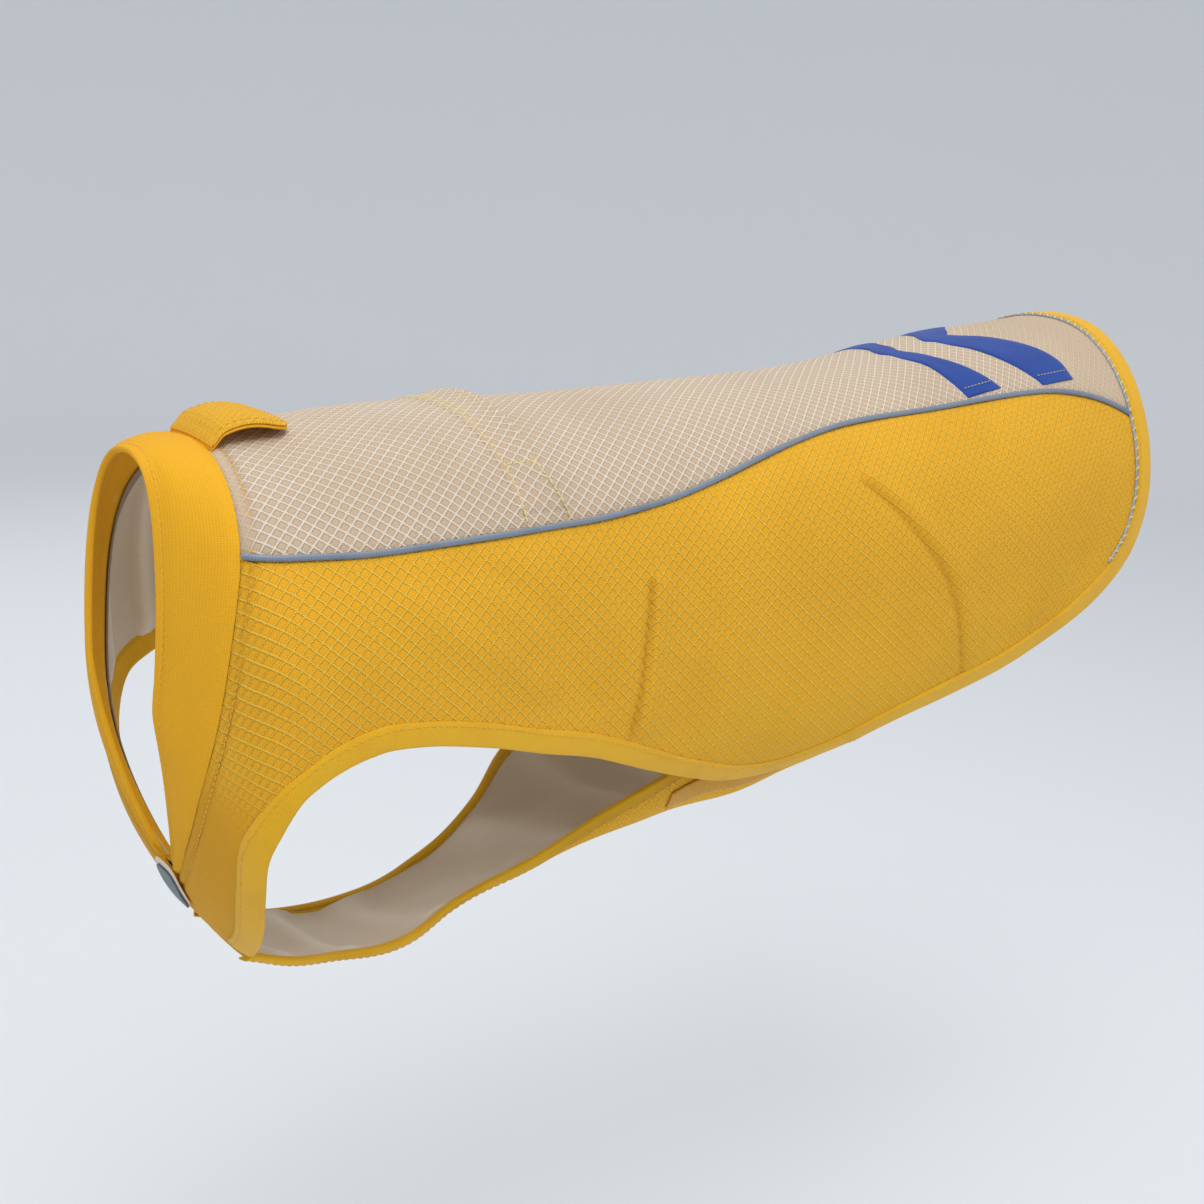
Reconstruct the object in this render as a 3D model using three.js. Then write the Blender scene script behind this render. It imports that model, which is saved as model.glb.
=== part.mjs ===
// Dog cooling vest, worn shape. Millimetres, +Z up, +X towards the tail, the dog's left side at -Y.
// Every cloth piece is a patch on one smooth torso form, given as pattern points: how far along the
// body (percent of BODY_LENGTH from the middle) and how far around it (degrees from the spine).
import * as THREE from 'three';

// Overall sizes of the torso form.
const BODY_LENGTH = 480;
const BODY_DEPTH = 240;
const BODY_WIDTH = 162;

// Cloth layers, counted inwards from the outer face.
const SHELL_THICKNESS = 1.2;
const CORE_THICKNESS = 1.0;
const LINING_THICKNESS = 0.8;
const LAYER_GAP = 0.3;
const SEAM_GAP = 0.6;
const FACET_SLACK = 0.1;

// Trims.
const BINDING_WIDTH = 10;
const BINDING_THICKNESS = 0.8;
const BINDING_GAP = 0.06 * BINDING_WIDTH;
const BINDING_TRIM = 0.06;
const PIPING_DIAMETER = 3;
const CORD_DIAMETER = 1.8;
const TAPE_THICKNESS = 0.7;
const SEAM_TAPE_WIDTH = 10;
const CORE_MARGIN_ROWS = 1;

// Belly flap, neck tab and fastener pads.
const FLAP_HINGE_GAP = 1.2;
const FLAP_LINING_THICKNESS = 0.8;
const PAD_THICKNESS = 1.4;
const PAD_LENGTH = 96;
const PAD_HEIGHT = 18;
const LOOP_PAD_SPAN = 20;
const FACET_ALLOWANCE = 2;
const PAD_CENTRE = 5;
const PAD_EDGE_MARGIN = 6;
const LOOP_PAD_PLACE = [PAD_CENTRE, 62];
const TAB_WIDTH = 36;
const TAB_LENGTH = 33;
const TAB_RISE = 6;
const TAB_THICKNESS = 1.0;
const TAB_STANDOFF = 1.4;
const TAB_TIP_LIFT = 1.8;
const TAB_ROOT_SETBACK = 1;
const TAB_ROUND_FROM = 0.7;
const TAB_ROUND_SPAN = 0.36;
const TAB_ARCH_SKEW = 0.85;

// Chest tag, counted outwards from the form.
const TAG_BACKING_STANDOFF = 1.2;
const TAG_REFLECTOR_STANDOFF = 1.8;

// Torso form: percent along, then top, bottom and half width as shares of the overall depth and
// width, and the height of the widest line as a share of the depth. Heights are from the torso axis.
const FORM_STATIONS = [
  [-54, 0.325, 0.058, 0.049, 0.021],
  [-52, 0.338, -0.083, 0.198, 0.017],
  [-49.5, 0.345, -0.258, 0.383, 0.017],
  [-47, 0.350, -0.383, 0.481, 0.021],
  [-42.5, 0.356, -0.492, 0.500, 0.033],
  [-31, 0.375, -0.542, 0.494, 0.046],
  [-17, 0.379, -0.425, 0.469, 0.063],
  [0, 0.385, -0.367, 0.475, 0.067],
  [19, 0.408, -0.333, 0.500, 0.071],
  [35, 0.458, -0.296, 0.488, 0.083],
  [50, 0.488, -0.258, 0.451, 0.063],
];
const BACK_SQUARENESS = 2.25;
const BELLY_SQUARENESS = 2.6;

// Belly flap form: percent along, half width (share of BODY_WIDTH), keel height and how far the
// sides rise above it (shares of BODY_DEPTH).
const FLAP_STATIONS = [
  [-43.2, 0.154, -0.490, 0.017],
  [-40, 0.154, -0.513, 0.019],
  [-36, 0.151, -0.531, 0.021],
  [-32, 0.148, -0.538, 0.021],
  [-28, 0.145, -0.527, 0.023],
  [-24, 0.136, -0.500, 0.025],
  [-20, 0.142, -0.471, 0.031],
  [-16, 0.191, -0.442, 0.050],
  [-12, 0.245, -0.417, 0.083],
  [-8, 0.272, -0.400, 0.113],
  [-3, 0.284, -0.388, 0.138],
  [5, 0.290, -0.375, 0.150],
  [13, 0.290, -0.346, 0.142],
  [20, 0.284, -0.317, 0.133],
];
const FLAP_SQUARENESS = 2.6;

// Pattern points, [percent along, degrees around], for the dog's left half; the right half mirrors.
// Seam between collar and body, spine to the foot of the neckline, with the collar's free edge.
const COLLAR_SEAM = [[-45.9, 0], [-46.5, 17], [-47.2, 34], [-48, 51.5], [-48.7, 65], [-49.2, 78], [-49.7, 98],
  [-50, 118], [-49.9, 136], [-49.2, 156], [-47.8, 177]];
const COLLAR_EDGE = [[-51.1, 0], [-51.3, 18], [-51.5, 36], [-51.7, 54], [-51.8, 67], [-51.9, 80], [-52, 100],
  [-51.9, 120], [-51.3, 138], [-50.2, 156], [-48.6, 173]];
const BACK_SEAM_POINTS = 4;
// Chest end of the shoulder, from the belly hinge line up the centre front.
const CENTRE_FRONT = [[-43.3, 179.2], [-45.5, 179.2]];
// Piping between back and side panels, collar to tail.
const PIPING_LINE = [[-48, 51.5], [-43.4, 54], [-38.8, 56], [-33.2, 57], [-27.6, 57.5], [-22.8, 57.6], [-18, 57.4],
  [-13.8, 56], [-9.7, 53.6], [-5, 49.5], [-0.3, 44.8], [5, 39.8], [10.1, 36.4], [15.4, 35.4], [20.8, 36],
  [27.6, 37.8], [34.5, 40.2], [38.2, 42.5], [41.8, 46], [44.8, 50.2], [47, 54]];
// Lower edge of the side panel: up behind the shoulder, over the arm hole, along the hem, up the tail.
const SIDE_EDGE = [[-43.3, 164], [-44.8, 148], [-46.2, 134], [-46.7, 124], [-46.1, 115], [-45, 108], [-43.5, 104.4],
  [-41.6, 102], [-39.4, 100.5], [-37.1, 100], [-33, 101], [-28, 104], [-22.6, 109.3], [-17.3, 115],
  [-11.8, 122], [-6.3, 129], [-1, 135.5], [4.5, 138.5], [10.5, 134.5], [16.8, 127.5], [22.8, 123.5],
  [28.9, 119.8], [34, 114.5], [38.8, 108], [42.5, 100], [45.3, 90], [47.4, 77], [48.3, 60]];
const TAIL_BULGE = 2.2;

// Tapes, welt and pads on the back: [front edge, rear edge] rows from the spine outwards.
const TAPE_FRONT = [[24.2, 26.6, 0], [24.7, 27.2, 10], [25.2, 28.2, 19], [25.6, 29.3, 28], [25.8, 30.4, 35.5]];
const TAPE_REAR = [[29.9, 33.5, 0], [30.9, 36.4, 10], [32.2, 38.4, 19], [34.2, 39.8, 30], [35.3, 40, 38.3]];
const WELT = [[-25.5, -21.6, 0], [-25.6, -22, 17], [-25.5, -22.1, 33], [-25.4, -21.2, 46], [-25.4, -20.4, 54.5]];

const toRadians = THREE.MathUtils.degToRad;
const percentToX = (percent) => (percent / 100) * BODY_LENGTH;
const xToPercent = (x) => (x / BODY_LENGTH) * 100;
const degreesFor = (length) => THREE.MathUtils.radToDeg(length / (BODY_WIDTH / 2));

/** Smooth value of one column of a station table at a place along the body. */
function stationValue(stations, column, percent) {
  const last = stations.length - 1;
  const slope = (i) => {
    const low = stations[Math.max(i - 1, 0)];
    const high = stations[Math.min(i + 1, last)];
    return (high[column] - low[column]) / (high[0] - low[0]);
  };
  let i = 0;
  while (i < last - 1 && percent > stations[i + 1][0]) i += 1;
  const span = stations[i + 1][0] - stations[i][0];
  const t = (percent - stations[i][0]) / span;
  const a = stations[i][column];
  const b = stations[i + 1][column];
  return (2 * t ** 3 - 3 * t ** 2 + 1) * a + (t ** 3 - 2 * t ** 2 + t) * span * slope(i)
    + (-2 * t ** 3 + 3 * t ** 2) * b + (t ** 3 - t ** 2) * span * slope(i + 1);
}

/** Point of the torso form. */
function torsoPoint(percent, around) {
  const angle = toRadians(around);
  const value = (column) => stationValue(FORM_STATIONS, column, percent);
  const side = Math.sin(angle);
  const up = Math.cos(angle);
  const power = up > 0 ? BACK_SQUARENESS : BELLY_SQUARENESS;
  const reach = (Math.abs(side) ** power + Math.abs(up) ** power) ** (-1 / power);
  const widest = value(4) * BODY_DEPTH;
  const height = up > 0 ? value(1) * BODY_DEPTH - widest : widest - value(2) * BODY_DEPTH;
  return new THREE.Vector3(percentToX(percent), value(3) * BODY_WIDTH * side * reach, widest + height * up * reach);
}

/** Point of the belly flap form; across runs from -90 at its left edge to 90 at its right edge. */
function flapPoint(percent, across) {
  const value = (column) => stationValue(FLAP_STATIONS, column, percent);
  const angle = toRadians(across);
  const bend = (v) => Math.sign(v) * Math.abs(v) ** (2 / FLAP_SQUARENESS);
  const y = value(1) * BODY_WIDTH * bend(Math.sin(angle));
  const z = value(2) * BODY_DEPTH + value(3) * BODY_DEPTH * (1 - bend(Math.cos(angle)));
  return new THREE.Vector3(percentToX(percent), y, z);
}

/** Outward normal of a form at a pattern point. */
function outwardNormal(form, [percent, around]) {
  const step = 0.5;
  const limit = form === flapPoint ? 90 : Infinity;
  const low = Math.max(around - step, -limit);
  const high = Math.min(around + step, limit);
  const along = form(percent + step, around).sub(form(percent - step, around));
  const across = form(percent, high).sub(form(percent, low));
  const normal = new THREE.Vector3().crossVectors(along, across).normalize();
  return form === flapPoint ? normal.negate() : normal;
}

/** Pattern point moved off the form by an offset, outwards positive. */
function lift(form, pattern, offset) {
  return form(...pattern).addScaledVector(outwardNormal(form, pattern), offset);
}

const mix = (a, b, t) => [a[0] + (b[0] - a[0]) * t, a[1] + (b[1] - a[1]) * t];
const mirrored = (pattern) => [pattern[0], -pattern[1]];

/** Makes a mesh of a closed triangle list, turned so that its faces point out. */
function closedMesh(name, material, points, triangles) {
  const edgeA = new THREE.Vector3();
  const volume = triangles.reduce((sum, [a, b, c]) => sum
    + points[a].dot(edgeA.crossVectors(points[b], points[c])), 0);
  const ordered = volume < 0 ? triangles.map(([a, b, c]) => [a, c, b]) : triangles;
  const geometry = new THREE.BufferGeometry().setFromPoints(points);
  geometry.setIndex(ordered.flat());
  geometry.computeVertexNormals();
  const mesh = new THREE.Mesh(geometry, material);
  mesh.name = name;
  return mesh;
}

/** Solid sheet between two grids of points that match row for row. */
function sheet(name, material, outer, inner) {
  const rows = outer.length;
  const columns = outer[0].length;
  const points = [...outer.flat(), ...inner.flat()];
  const top = (i, j) => i * columns + j;
  const under = (i, j) => rows * columns + top(i, j);
  const triangles = [];
  const quad = (a, b, c, d) => triangles.push([a, b, c], [a, c, d]);
  for (let i = 0; i < rows - 1; i += 1) {
    for (let j = 0; j < columns - 1; j += 1) {
      quad(top(i, j), top(i + 1, j), top(i + 1, j + 1), top(i, j + 1));
      quad(under(i, j), under(i, j + 1), under(i + 1, j + 1), under(i + 1, j));
    }
  }
  const rim = [];
  for (let i = 0; i < rows - 1; i += 1) rim.push([i, 0]);
  for (let j = 0; j < columns - 1; j += 1) rim.push([rows - 1, j]);
  for (let i = rows - 1; i > 0; i -= 1) rim.push([i, columns - 1]);
  for (let j = columns - 1; j > 0; j -= 1) rim.push([0, j]);
  rim.forEach((from, k) => {
    const to = rim[(k + 1) % rim.length];
    quad(top(...from), under(...from), under(...to), top(...to));
  });
  return closedMesh(name, material, points, triangles);
}

/** Sheet cut from a grid of pattern points, lying between two offsets from its form. */
function clothSheet(name, material, grid, outerOffset, thickness, form = torsoPoint) {
  const layer = (offset) => grid.map((row) => row.map((pattern) => lift(form, pattern, offset)));
  return sheet(name, material, layer(outerOffset), layer(outerOffset - thickness));
}

/** Solid swept through matching closed sections; caps lists the end faces as section corners, and
 *  crossed lists the sides whose faces are split along the other diagonal. */
function sweep(name, material, sections, caps, crossed = []) {
  const size = sections[0].length;
  const triangles = [];
  for (let i = 0; i < sections.length - 1; i += 1) {
    for (let k = 0; k < size; k += 1) {
      const next = (k + 1) % size;
      const [a, b, c, d] = [i * size + k, (i + 1) * size + k, (i + 1) * size + next, i * size + next];
      if (crossed.includes(k)) triangles.push([a, b, d], [b, c, d]);
      else triangles.push([a, b, c], [a, c, d]);
    }
  }
  const end = (sections.length - 1) * size;
  caps.forEach(([a, b, c]) => triangles.push([a, b, c], [end + a, end + c, end + b]));
  return closedMesh(name, material, sections.flat(), triangles);
}

const PIPING_CLEARANCE = degreesFor(PIPING_DIAMETER / 2 + LAYER_GAP + FACET_SLACK);
const LINING_DEPTH = SHELL_THICKNESS + LAYER_GAP + CORE_THICKNESS + LAYER_GAP;
const BODY_THICKNESS = LINING_DEPTH + LINING_THICKNESS;
const FLAP_THICKNESS = SHELL_THICKNESS + LAYER_GAP + FLAP_LINING_THICKNESS;
const BINDING_RETURNS = [2, 6];
const MIRRORED_RETURNS = [0, 4];
const BINDING_CAPS = [[0, 1, 6], [0, 6, 7], [1, 2, 5], [1, 5, 6], [2, 3, 4], [2, 4, 5]];

/** Edge binding: a folded tape round the edge of a sandwich of cloth.
 *  band is a list of [inner pattern point, edge pattern point] pairs along the edge, and returns lists
 *  the sides whose faces are split so that they run beside the faces of the cloth. */
function edgeBinding(name, material, band, thickness, form = torsoPoint, returns = BINDING_RETURNS) {
  const sections = band.map(([inner, edge]) => {
    const outwards = form(...edge).sub(form(...inner)).normalize();
    const normal = outwardNormal(form, edge);
    outwards.addScaledVector(normal, -outwards.dot(normal)).normalize();
    const at = (pattern, offset, beyond) => lift(form, pattern, offset).addScaledVector(outwards, beyond);
    const face = BINDING_GAP + BINDING_THICKNESS;
    return [
      at(inner, face, 0), at(edge, face, face), at(edge, -thickness - face, face),
      at(inner, -thickness - face, 0), at(inner, -thickness - BINDING_GAP, 0),
      at(edge, -thickness - BINDING_GAP, BINDING_GAP), at(edge, BINDING_GAP, BINDING_GAP), at(inner, BINDING_GAP, 0),
    ];
  });
  return sweep(name, material, sections, BINDING_CAPS, returns);
}

/** Round cord along pattern points at an offset from the torso form. */
function roundCord(name, material, route, diameter, offset) {
  const sides = 8;
  const centres = route.map((pattern) => lift(torsoPoint, pattern, offset));
  const sections = centres.map((centre, i) => {
    const ahead = centres[Math.min(i + 1, centres.length - 1)];
    const behind = centres[Math.max(i - 1, 0)];
    const tangent = ahead.clone().sub(behind).normalize();
    const normal = outwardNormal(torsoPoint, route[i]);
    const across = new THREE.Vector3().crossVectors(tangent, normal).normalize();
    return Array.from({ length: sides }, (_, k) => {
      const turn = (2 * Math.PI * k) / sides;
      return centre.clone().addScaledVector(normal, (Math.cos(turn) * diameter) / 2)
        .addScaledVector(across, (Math.sin(turn) * diameter) / 2);
    });
  });
  const caps = Array.from({ length: sides - 2 }, (_, k) => [0, k + 1, k + 2]);
  return sweep(name, material, sections, caps);
}

/** Distance between two pattern points on a form. */
const reachBetween = (form, a, b) => form(...a).distanceTo(form(...b));

/** Resamples a list of pattern points to a count, evenly by list position. */
function resample(points, count) {
  return Array.from({ length: count }, (_, i) => {
    const place = (i * (points.length - 1)) / (count - 1);
    const k = Math.min(Math.floor(place), points.length - 2);
    return mix(points[k], points[k + 1], place - k);
  });
}

/** Piping line whose last step is one binding width long, so that the tail binding ends on it. */
function pipingRoute() {
  const end = PIPING_LINE.at(-1);
  const before = PIPING_LINE.at(-3);
  const share = BINDING_WIDTH / reachBetween(torsoPoint, end, before);
  return [...PIPING_LINE.slice(0, -2), mix(end, before, share), end];
}

/** Grid of the left side panel: one row for each seam or piping point, from top edge to lower edge.
 *  The last two columns are the band that the edge binding covers. */
function sidePanelGrid() {
  const seam = COLLAR_SEAM.slice(BACK_SEAM_POINTS - 1).reverse();
  const front = [...CENTRE_FRONT, ...seam.slice(0, -1)];
  const frontTop = front.map(([percent, around]) => [percent + xToPercent(SEAM_GAP / 2), around]);
  const rearTop = pipingRoute().map(([percent, around], i) => [
    percent + (i === 0 ? xToPercent(SEAM_GAP / 2) : 0), around + PIPING_CLEARANCE]);
  const top = [...frontTop, ...rearTop];
  const low = [...SIDE_EDGE.slice(0, front.length), ...resample(SIDE_EDGE.slice(front.length), rearTop.length)];
  const columns = 5;
  return top.map((upper, i) => {
    const share = Math.min(BINDING_WIDTH / reachBetween(torsoPoint, upper, low[i]), 0.5);
    const row = Array.from({ length: columns }, (_, j) => mix(upper, low[i], ((1 - share) * j) / (columns - 1)));
    return [...row, low[i]];
  });
}

/** Grid of the back panel: rows from collar to tail, columns from left piping to right piping.
 *  The last two rows are the band that the tail binding covers. */
function backPanelGrid() {
  const shares = [-1, -2 / 3, -1 / 3, 0, 1 / 3, 2 / 3, 1];
  const seamBulge = COLLAR_SEAM[0][0] - COLLAR_SEAM[BACK_SEAM_POINTS - 1][0];
  const route = pipingRoute();
  return route.map(([percent, around], i) => shares.map((share) => {
    const bulge = seamBulge + (TAIL_BULGE - seamBulge) * (i / (route.length - 1)) ** 3;
    const shift = i === 0 ? xToPercent(SEAM_GAP / 2) : 0;
    return [percent + bulge * (1 - share ** 2) + shift, share * (around - PIPING_CLEARANCE)];
  }));
}

/** Collar rows, from the foot of the neckline on the left, over the spine, to the foot on the right. */
function collarGrid() {
  const half = COLLAR_SEAM.map((seam, i) => {
    const inner = [seam[0] - xToPercent(SEAM_GAP / 2), seam[1]];
    return [COLLAR_EDGE[i], mix(COLLAR_EDGE[i], inner, 0.5), inner];
  });
  const left = half.slice(1).reverse().map((row) => row.map(mirrored));
  return [...left, ...half];
}

/** Grid of the belly flap; the outer columns and the last row are the bands of its bindings. */
function flapGrid() {
  const start = FLAP_STATIONS[0][0] + xToPercent(FLAP_HINGE_GAP);
  const end = FLAP_STATIONS.at(-1)[0];
  const count = 17;
  const sideArc = 1.6; // length of the flap's curved side for each unit that it rises
  const places = Array.from({ length: count }, (_, i) => start + ((end - start) * i) / (count - 1));
  places.splice(-1, 0, end - xToPercent(BINDING_WIDTH));
  return places.map((percent) => {
    const band = (1 - BINDING_WIDTH / (stationValue(FLAP_STATIONS, 1, percent) * BODY_WIDTH
      + sideArc * stationValue(FLAP_STATIONS, 3, percent) * BODY_DEPTH)) * 90;
    return [-90, -band, -band * 0.55, 0, band * 0.55, band, 90].map((across) => [percent, across]);
  });
}

/** Strip across the back between two pipings, from half rows of [front, rear, around]. */
function crossStrip(name, material, half, offset, thickness) {
  const step = 6;
  const end = half.at(-1)[2];
  const count = Math.ceil(end / step);
  const places = Array.from({ length: 2 * count + 1 }, (_, i) => ((i - count) * end) / count);
  const rows = places.map((around) => {
    const k = Math.max(half.findIndex((row) => row[2] >= Math.abs(around)), 1);
    const t = (Math.abs(around) - half[k - 1][2]) / (half[k][2] - half[k - 1][2]);
    const front = half[k - 1][0] + (half[k][0] - half[k - 1][0]) * t;
    const rear = half[k - 1][1] + (half[k][1] - half[k - 1][1]) * t;
    return [[front, around], [(front + rear) / 2, around], [rear, around]];
  });
  return clothSheet(name, material, rows, offset, thickness);
}

/** One leaf of the neck tab: an arched tongue with a rounded tip, sewn in at the collar seam. */
function tabLeaf(name, material, lower, thickness) {
  const root = torsoPoint(COLLAR_SEAM[0][0], 0);
  const rows = 9;
  const columns = 6;
  const point = (i, j, raise) => {
    const t = i / rows;
    const round = Math.sqrt(1 - (Math.max(t - TAB_ROUND_FROM, 0) / TAB_ROUND_SPAN) ** 2);
    const y = (TAB_WIDTH / 2) * round * ((2 * j) / columns - 1);
    const spine = torsoPoint(COLLAR_SEAM[0][0], THREE.MathUtils.radToDeg(Math.abs(y) / root.z));
    const arch = TAB_RISE * Math.sin(Math.PI * t ** TAB_ARCH_SKEW) * (1 - (y / TAB_WIDTH) ** 2);
    const height = spine.z + TAB_STANDOFF + TAB_TIP_LIFT * t + arch;
    return new THREE.Vector3(root.x + TAB_ROOT_SETBACK + TAB_LENGTH * t, y, height + lower + raise);
  };
  const layer = (raise) => Array.from({ length: rows + 1 }, (_, i) => Array.from({ length: columns + 1 },
    (__, j) => point(i, j, raise)));
  return sheet(name, material, layer(thickness), layer(0));
}

/** Fastener pad: a small patch of a grid of pattern points on a form. */
function pad(name, material, form, centre, alongSize, aroundSpan, offset, thickness) {
  const rows = 9;
  const grid = Array.from({ length: rows }, (_, i) => Array.from({ length: 4 }, (__, j) => [
    centre[0] + xToPercent(alongSize) * (i / (rows - 1) - 0.5), centre[1] + aroundSpan * (j / 3 - 0.5)]));
  return clothSheet(name, material, grid, offset, thickness, form);
}

const finish = (color, roughness = 0.9) => new THREE.MeshStandardMaterial({ color, roughness, metalness: 0 });
const yellowMesh = finish(0xf0b41e);
const creamMesh = finish(0xd9c1a3);
const yellowKnit = finish(0xeeab1c);
const creamLining = finish(0xd8c8ae);
const absorbentCore = finish(0xe9e6dc, 0.95);
const yellowBinding = finish(0xf2b90f, 0.85);
const reflectiveGrey = finish(0x8b95a5, 0.5);
const royalBlue = finish(0x1c4ba6, 0.75);
const slateReflector = finish(0x4d5a66, 0.5);
const greyTape = finish(0x9b8f82, 0.85);
const fastenerCream = finish(0xd5b98a, 1);

const vest = new THREE.Group();
vest.name = 'dog_cooling_vest';

// Back panel: mesh shell, absorbent core, lining, tail binding.
const backGrid = backPanelGrid();
const coreRows = (grid) => grid.slice(CORE_MARGIN_ROWS, -1 - CORE_MARGIN_ROWS).map((row) => row.slice(1, -1));
vest.add(
  clothSheet('back_panel_shell', creamMesh, backGrid, 0, SHELL_THICKNESS),
  clothSheet('back_cooling_core', absorbentCore, coreRows(backGrid), -SHELL_THICKNESS - LAYER_GAP, CORE_THICKNESS),
  clothSheet('back_panel_lining', creamLining, backGrid, -LINING_DEPTH, LINING_THICKNESS),
  edgeBinding('tail_binding', yellowBinding,
    backGrid.at(-1).map((edge, j) => [backGrid.at(-2)[j], edge]), BODY_THICKNESS),
);

// Side panels with their shoulders, mirrored about the middle plane.
const hemAtPad = Math.max(...SIDE_EDGE.filter((place) => Math.abs(place[0] - PAD_CENTRE) < 1).map((place) => place[1]));
const padAround = hemAtPad - degreesFor(BINDING_WIDTH + PAD_HEIGHT / 2 + PAD_EDGE_MARGIN);
const leftGrid = sidePanelGrid().map((row) => row.map(mirrored));
const rightGrid = sidePanelGrid();
[['left', leftGrid, -1], ['right', rightGrid, 1]].forEach(([side, grid, sign]) => {
  const pipingPath = pipingRoute().map(([percent, around], i) => [
    percent + (i === 0 ? xToPercent(SEAM_GAP) : 0), sign * around]);
  const cordRoute = grid.slice(-8).map((row) => mix(row.at(-2), row[0], CORD_DIAMETER
    / reachBetween(torsoPoint, row.at(-2), row[0])));
  vest.add(
    clothSheet(`${side}_panel_shell`, yellowMesh, grid, 0, SHELL_THICKNESS),
    clothSheet(`${side}_cooling_core`, absorbentCore,
      grid.slice(8, -2).map((row) => row.slice(1, -2)), -SHELL_THICKNESS - LAYER_GAP, CORE_THICKNESS),
    clothSheet(`${side}_panel_lining`, creamLining, grid, -LINING_DEPTH, LINING_THICKNESS),
    edgeBinding(`${side}_edge_binding`, yellowBinding, grid.map((row) => [row.at(-2), row.at(-1)]), BODY_THICKNESS),
    roundCord(`${side}_piping`, reflectiveGrey, pipingPath, PIPING_DIAMETER, 0),
    roundCord(`${side}_tail_cord`, reflectiveGrey, cordRoute.slice(0, -2), CORD_DIAMETER,
      CORD_DIAMETER),
    pad(`${side}_hook_pad`, fastenerCream, torsoPoint, [PAD_CENTRE, sign * padAround], PAD_LENGTH,
      degreesFor(PAD_HEIGHT), -BODY_THICKNESS - FACET_ALLOWANCE, PAD_THICKNESS),
  );
});

// Collar: knit outer, facing, and the tape over the neck seam inside.
const collarRows = collarGrid();
const tapeRows = collarRows.slice(1, -1).map((row) => {
  const [percent, around] = row.at(-1);
  const half = xToPercent(SEAM_TAPE_WIDTH / 2);
  return [[percent - half, around], [percent, around], [percent + half, around]];
});
vest.add(
  clothSheet('collar_outer', yellowKnit, collarRows, 0, SHELL_THICKNESS),
  clothSheet('collar_facing', yellowKnit, collarRows, -SHELL_THICKNESS - LAYER_GAP, CORE_THICKNESS),
  clothSheet('collar_seam_tape', greyTape, tapeRows, -BODY_THICKNESS - FACET_ALLOWANCE, TAPE_THICKNESS),
);

// Trims on the back: two tapes near the tail, the leash port's welt, the reflective cord at the tail.
const tailCordRoute = backGrid.at(-2).map(([percent, around]) => [
  percent - xToPercent(CORD_DIAMETER + LAYER_GAP), around * 0.96]);
vest.add(
  crossStrip('blue_tape_front', royalBlue, TAPE_FRONT, LAYER_GAP + TAPE_THICKNESS, TAPE_THICKNESS),
  crossStrip('blue_tape_rear', royalBlue, TAPE_REAR, LAYER_GAP + TAPE_THICKNESS, TAPE_THICKNESS),
  crossStrip('leash_port_welt', creamMesh, WELT, LAYER_GAP + SHELL_THICKNESS, SHELL_THICKNESS),
  roundCord('tail_cord', reflectiveGrey, tailCordRoute, CORD_DIAMETER, CORD_DIAMETER),
);

// Neck tab: two leaves that hinge up at the collar seam.
vest.add(
  tabLeaf('neck_tab', yellowMesh, TAB_THICKNESS + LAYER_GAP, TAB_THICKNESS),
  tabLeaf('neck_tab_lining', yellowKnit, 0, TAB_THICKNESS),
);

// Chest reflector and its cream backing across the foot of the neckline.
const chestPatch = (name, material, from, to, halfSpan, offset) => {
  const rows = [from, (from + to) / 2, to];
  const places = [-1, -0.5, 0, 0.5, 1];
  const grid = rows.map((percent) => places.map((share) => [percent, 180 + share * halfSpan]));
  return clothSheet(name, material, grid, offset, TAPE_THICKNESS);
};
vest.add(
  chestPatch('chest_tag_backing', creamLining, -48.3, -46.4, 8,
    TAG_BACKING_STANDOFF + TAPE_THICKNESS),
  chestPatch('chest_reflector', slateReflector, -48, -46, 7,
    TAG_REFLECTOR_STANDOFF + 2 * TAPE_THICKNESS),
);

// Belly flap, hinged at the chest: shell, lining, three bindings and the loop pads on its wings.
const belly = flapGrid();
const flapBinding = (name, band, returns) => edgeBinding(name, yellowBinding, band, FLAP_THICKNESS, flapPoint,
  returns);
const rearBand = belly.at(-1).slice(1, -1).map((edge, j) => [belly.at(-2)[j + 1], edge]);
const trimmedEnd = (end, next) => end.map((pattern, k) => mix(pattern, next[k], BINDING_TRIM));
const rearTrimmed = [trimmedEnd(rearBand[0], rearBand[1]), ...rearBand.slice(1, -1),
  trimmedEnd(rearBand.at(-1), rearBand.at(-2))];
vest.add(
  clothSheet('belly_flap_shell', yellowMesh, belly, 0, SHELL_THICKNESS, flapPoint),
  clothSheet('belly_flap_lining', creamLining, belly, -SHELL_THICKNESS - LAYER_GAP, FLAP_LINING_THICKNESS, flapPoint),
  flapBinding('flap_left_binding', belly.map((row) => [row[1], row[0]]), MIRRORED_RETURNS),
  flapBinding('flap_right_binding', belly.map((row) => [row.at(-2), row.at(-1)])),
  ...[-1, 1].map((sign) => pad(`${sign < 0 ? 'left' : 'right'}_loop_pad`, fastenerCream, flapPoint,
    [LOOP_PAD_PLACE[0], sign * LOOP_PAD_PLACE[1]], PAD_LENGTH, LOOP_PAD_SPAN, FACET_ALLOWANCE / 2 + PAD_THICKNESS,
    PAD_THICKNESS)),
  flapBinding('flap_rear_binding', rearTrimmed),
);

export default vest;
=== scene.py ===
"""Dog cooling vest: cloth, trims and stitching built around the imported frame.

Metres, +Z up, +X towards the tail, the dog's left side at -Y. A pattern point is
(percent along the body from its middle, degrees around it from the spine).
"""

import logging
import math
from dataclasses import dataclass
from enum import Enum
from typing import Callable, Sequence

import bmesh
import bpy
import numpy as np
from mathutils import Matrix, Vector


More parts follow.
